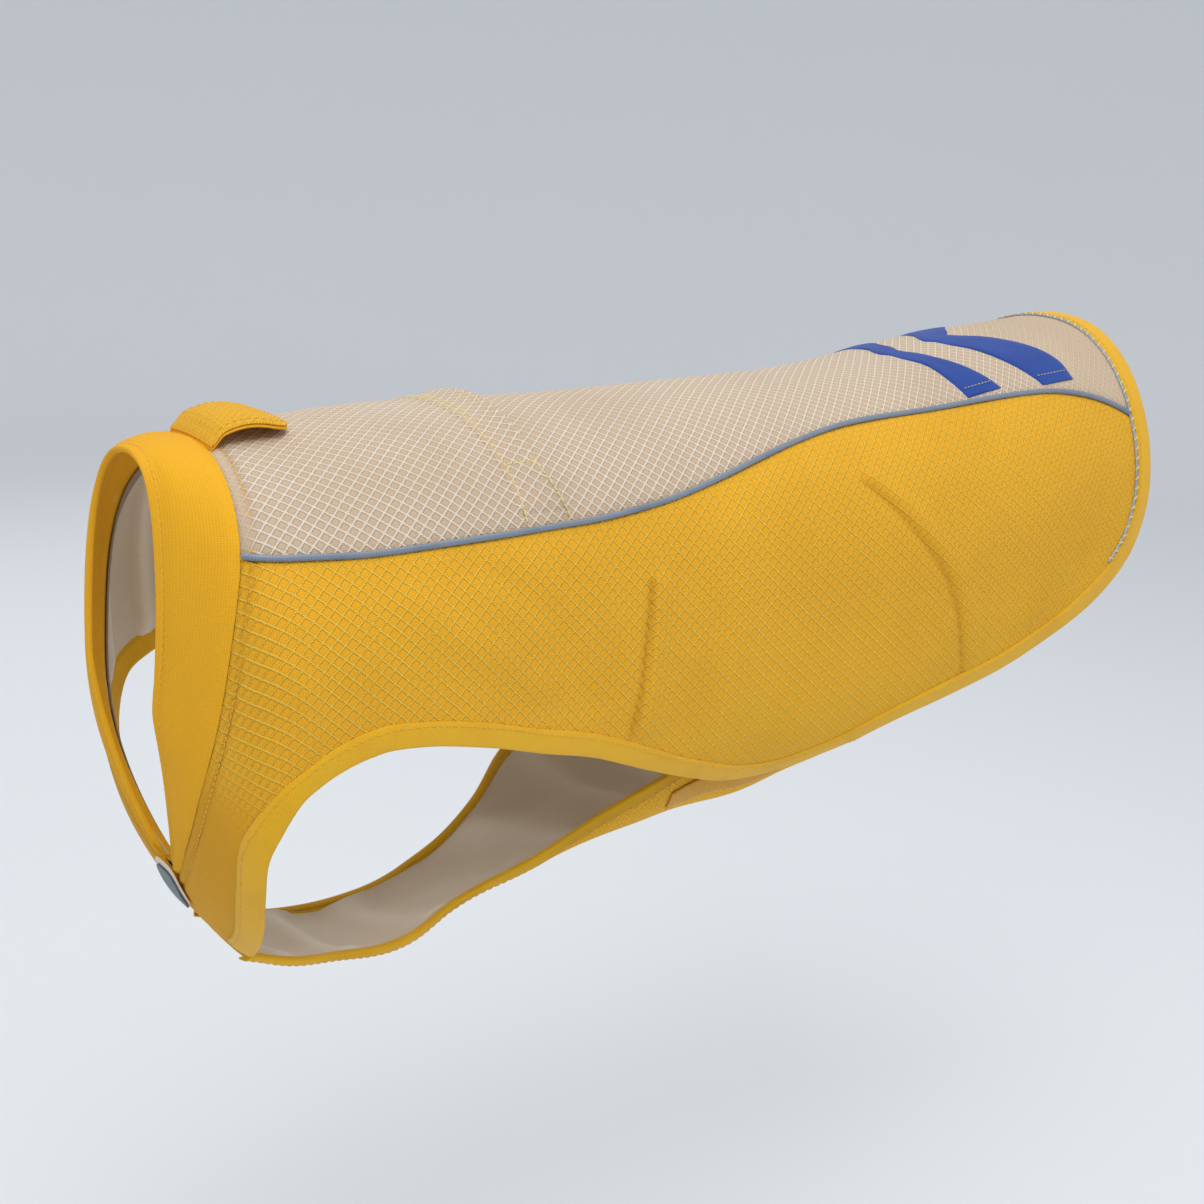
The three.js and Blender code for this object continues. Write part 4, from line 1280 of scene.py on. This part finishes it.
@dataclass
class Collar:
    """Knit band folded over at the neck, its seam tape and its topstitching."""

    finishes: Finishes
    thickness: float = 1.1 * MM
    depth: float = 2.5 * MM
    stitch_inset: float = 3.2 * MM
    tape_half: float = 4 * MM
    facing: float = 11 * MM
    facing_unit: float = 30 * MM

    def patterns(self) -> tuple[Array, Array]:
        """Seam and free edge, from the foot on the left over the spine to the foot on the right."""
        place = np.linspace(0, len(COLLAR_SEAM) - 1, 150)
        seam, edge = HALF_SEAM.at(place), PatternLine(COLLAR_EDGE).at(place)
        both = lambda rows: np.concatenate([(rows * [1, -1])[::-1][:-1], rows])  # noqa: E731
        return both(seam), both(edge)

    def at(self, share: Array) -> Array:
        """Pattern grid at shares of the way from the seam to the free edge."""
        seam, edge = self.patterns()
        return seam[:, None] + (edge - seam)[:, None] * share[None, :, None]

    def cut(self) -> Cut:
        """Flat size of the band: outer leaf, roll and facing side by side."""
        outer = Cut.strip(TORSO.lift(self.at(np.linspace(0, 1, 22)), 0.0))
        inner = Cut.strip(TORSO.lift(self.at(np.linspace(1, -self.facing / self.facing_unit, 26)), 0.0))
        roll = math.pi * self.depth / 2
        length = max(outer.length, inner.length)
        return Cut(outer.width + roll + inner.width, length, outer.area + roll * length + inner.area)

    def band(self) -> Patch:
        """Hairpin section from the seam out to the free edge and back inside."""
        seam, edge = self.patterns()
        edge_points = TORSO.lift(edge, 0.0)
        outward = unit(edge_points - TORSO.lift(seam, 0.0))
        width = np.linalg.norm(edge_points - TORSO.lift(seam, 0.0), axis=1)
        share = np.linspace(0, 1, 22)
        radius = self.depth / 2
        turn = np.linspace(np.pi / 2, -np.pi / 2, 9)
        at = self.at

        def height(t: Array) -> Array:
            from_edge = (1 - t)[None] * width[:, None]
            from_seam = t[None] * width[:, None]
            groove = 0.35 * MM * np.exp(-((from_edge - self.stitch_inset) / (0.8 * MM)) ** 2)
            dip = 0.7 * MM * (1 - smooth_step(from_seam, 0, 2.6 * MM))
            puff = 0.5 * MM * smooth_step(from_edge, 3.5 * MM, 8 * MM) * smooth_step(from_seam, 1 * MM, 6 * MM)
            return puff - groove - dip

        outer = TORSO.lift(at(share), height(share))
        roll = (TORSO.lift(edge, -radius)[:, None] + outward[:, None] * (0.75 * radius * np.cos(turn))[None, :, None]
                + TORSO.normal(edge)[:, None] * (radius * np.sin(turn))[None, :, None])
        beyond = np.linspace(1, -self.facing / self.facing_unit, 26)
        under = self.depth + 3.4 * MM * smooth_step(-beyond, -0.28, 0.02)
        inner = TORSO.lift(at(beyond), -under)
        small = radius - self.thickness * 0.8
        hollow = share[3:-1:3]
        back = TORSO.lift(at(beyond[::-1]), -under[::-1] + self.thickness * 0.7)
        bend = (TORSO.lift(edge, -radius)[:, None]
                + TORSO.normal(edge)[:, None] * (small * np.sin(turn[::-1][1:]))[None, :, None])
        front = TORSO.lift(at(hollow[::-1]), height(hollow[::-1]) - self.thickness * 0.8)
        sections = np.concatenate([outer, roll, inner, back, bend, front], axis=1)
        u = lengths(TORSO.lift((seam + edge) / 2, 0.0))
        steps = np.linalg.norm(np.diff(sections[len(seam) // 2], axis=0), axis=1)
        around = np.concatenate([[0], np.cumsum(steps), [steps.sum() + MM]])
        return swept(sections, u, around)

    def build(self) -> None:
        """Makes the collar's pieces."""
        seam, edge = self.patterns()
        band = piece("collar_band", self.band(), self.finishes.yellow_knit, "yellow_knit")
        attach(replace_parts(band, "collar_outer", "collar_facing"), "vest")
        self.cut().declare(band, "stretched", ["left_mesh_panel", "right_mesh_panel"])
        top = inset(TORSO, edge[8:-8], self.stitch_inset, -1.0)
        row = Stitching(pitch=2.8 * MM, radius=0.24 * MM, bow=0.15 * MM).patch(
            TORSO.lift(top, -0.15 * MM), TORSO.normal(top))
        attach(piece("collar_topstitching", row, self.finishes.thread, "yellow_knit"), "vest")
        beside = inset(TORSO, seam[10:-10], 4.6 * MM, -1.0)
        line = Stitching(pitch=2.8 * MM, radius=0.3 * MM, bow=0.2 * MM).patch(
            TORSO.lift(beside, -0.55 * MM), TORSO.normal(beside))
        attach(piece("neck_seam_stitching", line, self.finishes.thread, "yellow_mesh"), "vest")
        middle = seam[6:-6]
        across = np.linspace(-1, 1, 7)
        forward = inset(TORSO, middle, self.facing - self.tape_half, -1.0)
        rear = inset(TORSO, middle, self.facing + self.tape_half, -1.0)
        grid = forward[:, None] + (rear - forward)[:, None] * ((across + 1) / 2)[None, :, None]
        crown = 6.4 * MM - 1.2 * MM * smooth_step(across, -0.2, 0.4)[None]
        along = lengths(TORSO.lift(middle, 0.0))
        uv = np.stack(np.broadcast_arrays(along[:, None], across[None] * self.tape_half), -1)
        solid = cloth_solid(TORSO.lift(grid, -crown), TORSO.lift(grid, -crown - 0.6 * MM), uv)
        tape = piece("neck_seam_tape", solid, self.finishes.seam_tape, "grey_tape")
        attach(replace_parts(tape, "collar_seam_tape"), "vest")
        Cut.strip(TORSO.lift(grid, 0.0)).declare(tape, "stretched", ["collar_band"])


def cross_strip(half: Sequence[Sequence[float]], rows: int = 90, columns: int = 13, narrowed: float = 0.0) -> Array:
    """Grid across the back between two front-and-rear lines, from left to right.

    Args:
        half: [front, rear, degrees] rows from the spine outwards.
        rows: Rows across the back.
        columns: Columns along the body.
        narrowed: Share of the width that is missing at the spine.

    Returns:
        Pattern points.
    """
    table = np.array(half, float)
    around = np.linspace(-table[-1, 2], table[-1, 2], rows)
    front = hermite(table[:, 2], table[:, 0], np.abs(around))
    rear = hermite(table[:, 2], table[:, 1], np.abs(around))
    rear = front + (rear - front) * (1 - narrowed * (1 - smooth_step(np.abs(around), 0, 40)))
    share = np.linspace(0, 1, columns)
    percent = front[:, None] + (rear - front)[:, None] * share[None]
    return np.stack([percent, np.broadcast_to(around[:, None], percent.shape)], -1)


@dataclass
class BackTrims:
    """Blue tapes near the tail and the leash port across the back."""

    finishes: Finishes
    tape_height: float = 0.75 * MM
    tape_thickness: float = 0.7 * MM
    port_lift: float = 3.2 * MM
    port_width: float = 3.9

    def tape(self, name: str, node: str, half: Sequence[Sequence[float]]) -> None:
        """A tape laid over the mesh, its edges slightly wavy, stitched down at both ends."""
        grid = cross_strip(half, narrowed=0.2)
        place = TORSO.fabric(grid)
        wave = 0.12 * np.sin(place[:, :1, 1] / 0.0035 + 1.3 * np.sin(place[:, :1, 1] / 0.011))
        share = np.linspace(-1, 1, grid.shape[1])
        grid[..., 0] += wave * share
        height = (self.tape_height + 0.25 * MM * np.sin(place[..., 1] / 0.006) * np.abs(share) + cloth_relief(grid)
                  - 0.35 * MM * (np.abs(share) ** 6))
        uv = np.stack([place[..., 1], place[..., 0]], -1)
        made = piece(name, cloth_solid(TORSO.lift(grid, height), TORSO.lift(grid, height - self.tape_thickness), uv),
                     self.finishes.blue_tape, "royal_blue")
        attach(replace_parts(made, node), "vest")
        Cut.strip(TORSO.lift(grid, 0.0)).declare(made, "laid", ["back_mesh_panel"])
        rows = []
        for end in (4, -5):
            dense = PatternLine(grid[end, 1:-1]).even(TORSO, 0.6 * MM)
            top = TORSO.lift(dense, self.tape_height + cloth_relief(dense))
            rows.append(Stitching(pitch=2.1 * MM, radius=0.3 * MM).patch(top, TORSO.normal(dense)))
        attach(piece(f"{name}_stitching", Patch.joined(rows), self.finishes.grey_thread, "royal_blue"), "vest")

    @staticmethod
    def slack(around: Array) -> Array:
        """How freely the port's rear edge stands: 1 at the spine, 0 at the band's ends."""
        return np.maximum(np.cos(np.radians(around / PORT_WELT[-1][2] * 90)), 0) ** 0.6

    def port(self) -> None:
        """Leash port: a mesh band stitched along its front edge, its rear edge standing open."""
        grid = cross_strip(PORT_WELT, 110, 17)
        grid[..., 1] *= 1.03
        share = np.linspace(0, 1, grid.shape[1])
        slack = self.slack(grid[..., 1])
        height = cloth_relief(grid) + 0.6 * MM + (self.port_lift * share**2.5) * slack
        edge = smooth_step(np.minimum(share, 1 - share), 0, 0.06)
        ends = smooth_step(np.abs(grid[..., 1]) / PORT_WELT[-1][2], 0.93, 1.02)
        height = height - 0.35 * MM * (1 - edge) - 1.2 * MM * ends
        outer, inner = TORSO.lift(grid, height), TORSO.lift(grid, height - 0.8 * MM)
        patch = cloth_solid(outer, inner, TORSO.fabric(grid))
        zero = np.zeros(len(patch.points))
        band = piece("leash_port_band", patch, self.finishes.cream_mesh, "cream_mesh", {"tone": zero, "plain": zero})
        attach(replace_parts(band, "leash_port_welt"), "vest")
        Cut.strip(TORSO.lift(grid, 0.0)).declare(band, "laid", ["back_mesh_panel"])
        rows = []
        reach = PORT_WELT[-1][2] * 1.02
        angle = np.linspace(-reach, reach, 40)
        table = np.array(PORT_WELT, float)
        front, rear = (hermite(table[:, 2], table[:, k], np.abs(angle)) for k in (0, 1))
        lines = [(front + 0.45, angle), (rear - 0.5, angle)]
        centre = np.abs(angle) < 20
        lines.append((front[centre] + 1.1, angle[centre]))
        for sign in (-1, 1):
            lines.append((np.linspace(-24.9, -21.8, 20), np.full(20, sign * 38.0)))
        thread = Stitching(pitch=2.6 * MM, share=0.97, radius=0.4 * MM, bow=0.2 * MM)
        for percent, around in lines:
            dense = PatternLine(np.stack([percent, around], -1)).even(TORSO, MM)
            t = np.clip((dense[:, 0] - PORT_WELT[0][0]) / self.port_width, 0, 1)
            lift = cloth_relief(dense) + 0.6 * MM + self.port_lift * t**2.5 * self.slack(dense[:, 1])
            rows.append(thread.patch(TORSO.lift(dense, lift), TORSO.normal(dense)))
        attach(piece("leash_port_stitching", Patch.joined(rows), self.finishes.pale_thread, "cream_mesh"), "vest")

    def build(self) -> None:
        """Makes the tapes and the port."""
        self.tape("front_blue_tape", "blue_tape_front", TAPE_FRONT)
        self.tape("rear_blue_tape", "blue_tape_rear", TAPE_REAR)
        self.port()


@dataclass
class NeckTab:
    """Arched tab sewn in at the collar seam: a mesh leaf over a knit leaf."""

    finishes: Finishes
    width: float = 36 * MM
    length: float = 33 * MM
    rise: float = 6 * MM
    leaf: float = 1.0 * MM
    setback: float = -1.5 * MM

    def leaf_grid(self, lower: float) -> Array:
        """Tongue whose sides round in as a circle near the tip, arched as a skewed half sine."""
        root = TORSO.point(np.array(COLLAR_SEAM[0][0], float), np.array(0.0))
        t, w = np.meshgrid(np.linspace(0, 1, 40), np.linspace(-1, 1, 29), indexing="ij")
        taper = np.sqrt(np.clip(1 - (np.maximum(t - 0.7, 0) / 0.36) ** 2, 0, 1))
        y = self.width / 2 * taper * w
        angle = np.degrees(np.abs(y) / root[2])
        spine = TORSO.point(np.full_like(angle, COLLAR_SEAM[0][0]), angle)[..., 2]
        arch = self.rise * np.sin(np.pi * t**0.85) * (1 - (y / self.width) ** 2)
        sink = -2.4 * MM * (1 - smooth_step(t, 0, 0.16))
        curl = 0.5 * MM * np.sin(np.pi * t) * np.sin(y / 0.006)
        return np.stack([root[0] + self.setback + self.length * t, y,
                         spine + sink + 1.4 * MM + 1.8 * MM * t + arch + lower + curl * 0.4], -1)

    def build(self) -> None:
        """Makes both leaves and the stitches round them."""
        low, high = self.leaf_grid(0.0), self.leaf_grid(1.3 * MM)
        uv = low[..., :2] * 1.5
        up = np.array([0, 0, self.leaf])
        top = cloth_solid(high + up, high, uv)
        under = cloth_solid(low + up, low, uv)
        zero = np.zeros(len(top.points))
        mesh = piece("neck_tab_mesh_leaf", top, self.finishes.yellow_mesh, "yellow_mesh",
                     {"tone": zero, "plain": zero + 0.15})
        knit = piece("neck_tab_knit_leaf", under, self.finishes.yellow_knit, "yellow_knit")
        for made, node in ((mesh, "neck_tab"), (knit, "neck_tab_lining")):
            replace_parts(made, node)
            Cut.strip(low).declare(made, "folded", ["collar_band"])
        rim = np.concatenate([high[4:37, 2], high[36, 3:-3], high[4:37, -3][::-1]]) + up
        path = rim[np.linspace(0, len(rim) - 1, 60).astype(int)]
        normal = np.tile([0.0, 0.0, 1.0], (len(path), 1))
        seam = piece("neck_tab_stitching", Stitching(pitch=2.8 * MM, radius=0.24 * MM).patch(path, normal),
                     self.finishes.thread, "yellow_mesh")
        for made in (mesh, knit, seam):
            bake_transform(made)


def flap_relief(pattern: Array) -> Array:
    """Soft waves of the flap, stronger towards its edges."""
    point = FLAP.point(pattern[..., 0], pattern[..., 1])
    edge = np.abs(pattern[..., 1] / 90) ** 2
    fade = smooth_step(pattern[..., 0], -43, -38) * (1 - smooth_step(pattern[..., 0], 8, 19))
    waves = 0.9 * MM * np.sin(point[..., 0] / 0.0085 + 0.8 * np.sign(pattern[..., 1])) * (0.3 + edge)
    folds = 0.7 * MM * np.sin(point[..., 1] / 0.006 + point[..., 0] / 0.02) * (1 - edge)
    return (waves + folds) * fade


@dataclass
class BellyFlap:
    """Flap from the chest under the belly: mesh outside, lining inside, bound edges; its loop pads are made with the
    other pads.
    """

    finishes: Finishes
    hinge: float = -43.3
    end: float = 20.0
    blend_start: float = -0.2082
    blend_end: float = -0.1960

    def bind(self, made: bpy.types.Object) -> None:
        """Bakes the piece's transform into its mesh."""
        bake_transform(made)

    def pattern(self, rows: int = 190, columns: int = 49) -> Array:
        """Grid from the chest to the rear edge; angles evenly spaced from side to side."""
        percent = np.linspace(self.hinge, self.end, rows)
        across = np.linspace(-90, 90, columns)
        return np.stack(np.meshgrid(percent, across, indexing="ij"), -1)

    def build(self) -> None:
        """Makes the flap's pieces."""
        grid = self.pattern()
        relief = flap_relief(grid)
        uv = FLAP.fabric(grid)
        edge = smooth_step(90 - np.abs(grid[..., 1]), 0, 30)
        shell = cloth_solid(FLAP.lift(grid, relief), FLAP.lift(grid, relief - 1.0 * MM), uv)
        depth = 1.2 * MM + 0.3 * MM * edge
        wander = uv[..., 0] / 0.0075 + uv[..., 1] / 0.016 + 2.2 * np.sin(uv[..., 0] / 0.031)
        fold = (0.5 + 0.5 * np.sin(wander)) ** 3
        soft = 2.6 * MM * edge * fold
        lining = cloth_solid(FLAP.lift(grid, relief - depth), FLAP.lift(grid, relief - depth - 0.7 * MM - soft), uv)
        zero = np.zeros(len(shell.points))
        outside = piece("flap_mesh_sheet", shell, self.finishes.yellow_mesh, "yellow_mesh",
                        {"tone": zero, "plain": zero})
        shade = spread(0.6 * (1 - fold) * edge)
        inside = piece("flap_lining_sheet", lining, self.finishes.cream_lining, "cream_lining", {"tone": shade})
        for made, node, rest in ((outside, "belly_flap_shell", "flap_lining_sheet"),
                                 (inside, "belly_flap_lining", "flap_mesh_sheet")):
            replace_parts(made, node)
            Cut.panel(FLAP, grid).declare(made, "hung", [rest])
            self.bind(made)
        tape = FoldedTape(depth=2.4 * MM)
        percent = np.linspace(self.hinge, self.end, 40)
        edges = {"left": ([[p, -90] for p in percent], -1.0), "right": ([[p, 90] for p in percent], 1.0),
                 "rear": ([[self.end, a] for a in np.linspace(-84, 84, 30)], -1.0)}
        for name, (line, sign) in edges.items():
            path = PatternLine(line).even(FLAP, EDGE_STEP)
            bound = piece(f"flap_{name}_tape", tape.patch(FLAP, path, flap_relief, sign),
                          self.finishes.binding, "yellow_binding")
            self.bind(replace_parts(bound, f"flap_{name}_binding"))
            self.bind(piece(f"flap_{name}_stitching", tape.stitches(FLAP, path, flap_relief, sign),
                            self.finishes.thread, "yellow_binding"))


@dataclass
class Pads:
    """Hook pads inside the hem and loop pads on the flap's wings."""

    finishes: Finishes
    length: float = 96 * MM
    centre: float = 5.0

    def pad(self, name: str, node: str, form: Form, around: float, span: float, height: float,
            material: bpy.types.Material, body: str, relief: Callable[[Array], Array]) -> None:
        """A rounded pad whose edges thin out."""
        half = self.length / BODY_LENGTH * 50
        t, w = np.meshgrid(np.linspace(-1, 1, 70), np.linspace(-1, 1, 18), indexing="ij")
        grid = np.stack([self.centre + half * t, around + span / 2 * w * np.sqrt(1 - 0.12 * np.abs(t) ** 8)], -1)
        rim = smooth_step(np.minimum(1 - np.abs(t), (1 - np.abs(w)) * 0.3), 0, 0.03)
        offset = relief(grid)
        thick = 1.4 * MM * (0.6 + 0.4 * rim)
        patch = cloth_solid(form.lift(grid, offset + height), form.lift(grid, offset + height - thick),
                            form.fabric(grid))
        made = piece(name, patch, material, "fastener")
        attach(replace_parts(made, node), body)
        rests_on = "flap_mesh_sheet" if form is FLAP else f"{name.split('_')[0]}_lining_sheet"
        Cut.strip(form.lift(grid, 0.0)).declare(made, "laid", [rests_on])

    def build(self) -> None:
        """Makes the four pads."""
        for side in Side:
            name = side.name.lower()
            self.pad(f"{name}_hook_tape", f"{name}_hook_pad", TORSO, side.value * 120.8, 9.9, -5.6 * MM,
                     self.finishes.hooks, "vest", cloth_relief)
            self.pad(f"{name}_loop_tape", f"{name}_loop_pad", FLAP, side.value * 69, 17, 1.2 * MM,
                     self.finishes.loops, "belly_flap", flap_relief)


@dataclass
class ChestTag:
    """Rounded reflector on a cream backing at the foot of the neckline."""

    finishes: Finishes

    def leaf(self, name: str, node: str, span: tuple[float, float], half: float, height: float,
             material: bpy.types.Material, slot: str) -> None:
        """A patch with rounded corners: a superellipse in percent and degrees."""
        turn, reach = np.meshgrid(np.linspace(0, 2 * np.pi, 65), np.linspace(0, 1, 9), indexing="ij")
        square = lambda value: np.sign(value) * np.abs(value) ** 0.45  # noqa: E731
        middle, size = (span[0] + span[1]) / 2, (span[1] - span[0]) / 2
        grid = np.stack([middle + size * reach * square(np.sin(turn)), 180 + half * reach * square(np.cos(turn))], -1)
        outer, inner = TORSO.lift(grid, height), TORSO.lift(grid, height - 0.7 * MM)
        rim = Patch.lattice(np.stack([outer[:, -1], inner[:, -1]]), np.stack([grid[:, -1] * MM] * 2))
        patch = Patch.joined([Patch.lattice(outer, outer[..., :2]), Patch.lattice(inner, inner[..., :2]), rim])
        made = piece(name, patch, material, slot)
        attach(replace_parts(made, node), "vest")
        smooth = TORSO.lift(grid, 0.0)
        arms = np.linalg.norm(np.diff(smooth, axis=1), axis=-1).sum(1)
        cut = Cut(float(arms[0] + arms[32]), float(arms[16] + arms[48]), Cut.strip(smooth).area)
        cut.declare(made, "laid", ["collar_band"])

    def build(self) -> None:
        """Makes both leaves."""
        self.leaf("chest_tag_cloth", "chest_tag_backing", (-48.3, -46.6), 6.6, 1.7 * MM,
                  self.finishes.cream_lining, "cream_lining")
        self.leaf("chest_tag_reflector", "chest_reflector", (-48.1, -46.4), 5.8, 2.6 * MM,
                  self.finishes.reflector, "slate_reflector")


class Studio:
    """Camera, soft lights and a plain pale floor."""

    look_at = Vector((-0.036, -0.003, 0.0015))
    distance = 0.805
    azimuth, elevation, roll = math.radians(36.5), math.radians(16), math.radians(3.7)
    lens = 56.5
    floor = -0.46

    def camera(self) -> None:
        """Camera at the fitted angle, turned about its own axis by the roll."""
        level = math.cos(self.elevation)
        back = Vector((-math.sin(self.azimuth) * level, -math.cos(self.azimuth) * level, math.sin(self.elevation)))
        right = (-back).cross(Vector((0, 0, 1))).normalized()
        up = right.cross(-back)
        c, s = math.cos(self.roll), math.sin(self.roll)
        axes = Matrix((right * c + up * s, up * c - right * s, back)).transposed().to_4x4()
        data = bpy.data.cameras.new("camera")
        data.lens, data.sensor_width = self.lens, 36.0
        data.clip_start = 0.02
        made = bpy.data.objects.new("camera", data)
        made.matrix_world = Matrix.Translation(self.look_at + back * self.distance) @ axes
        bpy.context.scene.collection.objects.link(made)
        bpy.context.scene.camera = made

    def light(self, name: str, place: tuple[float, float, float], size: float, power: float, tint: Colour) -> None:
        """Square area light that faces the vest."""
        data = bpy.data.lights.new(name, "AREA")
        data.size, data.energy, data.color = size, power, tint
        made = bpy.data.objects.new(name, data)
        made.location = place
        made.rotation_euler = (-Vector(place)).to_track_quat("-Z", "Y").to_euler()
        bpy.context.scene.collection.objects.link(made)

    def build(self) -> None:
        """Sets the studio."""
        self.camera()
        self.light("key", (-0.7, -1.0, 1.7), 1.0, 18.5, (1.0, 0.985, 0.96))
        self.light("fill", (1.4, -1.1, 0.7), 1.6, 3.2, (0.97, 0.985, 1.0))
        self.light("top", (0.1, 0.3, 1.9), 1.4, 9, (1.0, 1.0, 1.0))
        self.light("rim", (0.2, 1.7, 0.8), 1.4, 4, (1.0, 1.0, 1.0))
        world = bpy.data.worlds.new("studio")
        world.use_nodes = True
        world.node_tree.nodes["Background"].inputs[0].default_value = (0.93, 0.96, 1.0, 1)
        world.node_tree.nodes["Background"].inputs[1].default_value = 0.6
        bpy.context.scene.world = world
        bpy.context.scene.view_settings.view_transform = "Standard"
        shop = Shop("studio_floor")
        tone = shop.mix(shop.noise(3, 2) * 0.15, colour("E9ECEF"), colour("DFE4E9"))
        floor_finish = shop.finish(tone, shop.noise(200, 2), 0.02 * MM, 0.9)
        radius, turn = np.meshgrid(np.linspace(0, 6, 61), np.linspace(0, 2 * np.pi, 97), indexing="ij")
        rise = 3.0 * smooth_step(radius, 2.6, 6.0)
        bowl = np.stack([radius * np.cos(turn), radius * np.sin(turn), rise], -1)
        sweep = Patch.lattice(bowl, np.stack([radius, turn], -1))
        mesh = bpy.data.meshes.new("floor")
        mesh.from_pydata(sweep.points.tolist(), [], sweep.quads.tolist())
        mesh.shade_smooth()
        mesh.materials.append(floor_finish)
        floor = bpy.data.objects.new("floor", mesh)
        floor.location = (0, 0, self.floor)
        bpy.context.scene.collection.objects.link(floor)


def main() -> None:
    """Builds the studio and every part of the vest."""
    logging.basicConfig(level=logging.INFO, format="%(name)s %(message)s")
    Studio().build()
    finishes, layers = Finishes(), PanelLayers()
    BackPanel(finishes, layers).build()
    for side in Side:
        SidePanel(finishes, layers).build(side)
    EdgeTrim(finishes).build()
    Collar(finishes).build()
    BackTrims(finishes).build()
    NeckTab(finishes).build()
    BellyFlap(finishes).build()
    Pads(finishes).build()
    ChestTag(finishes).build()


if __name__ == "__main__":
    main()
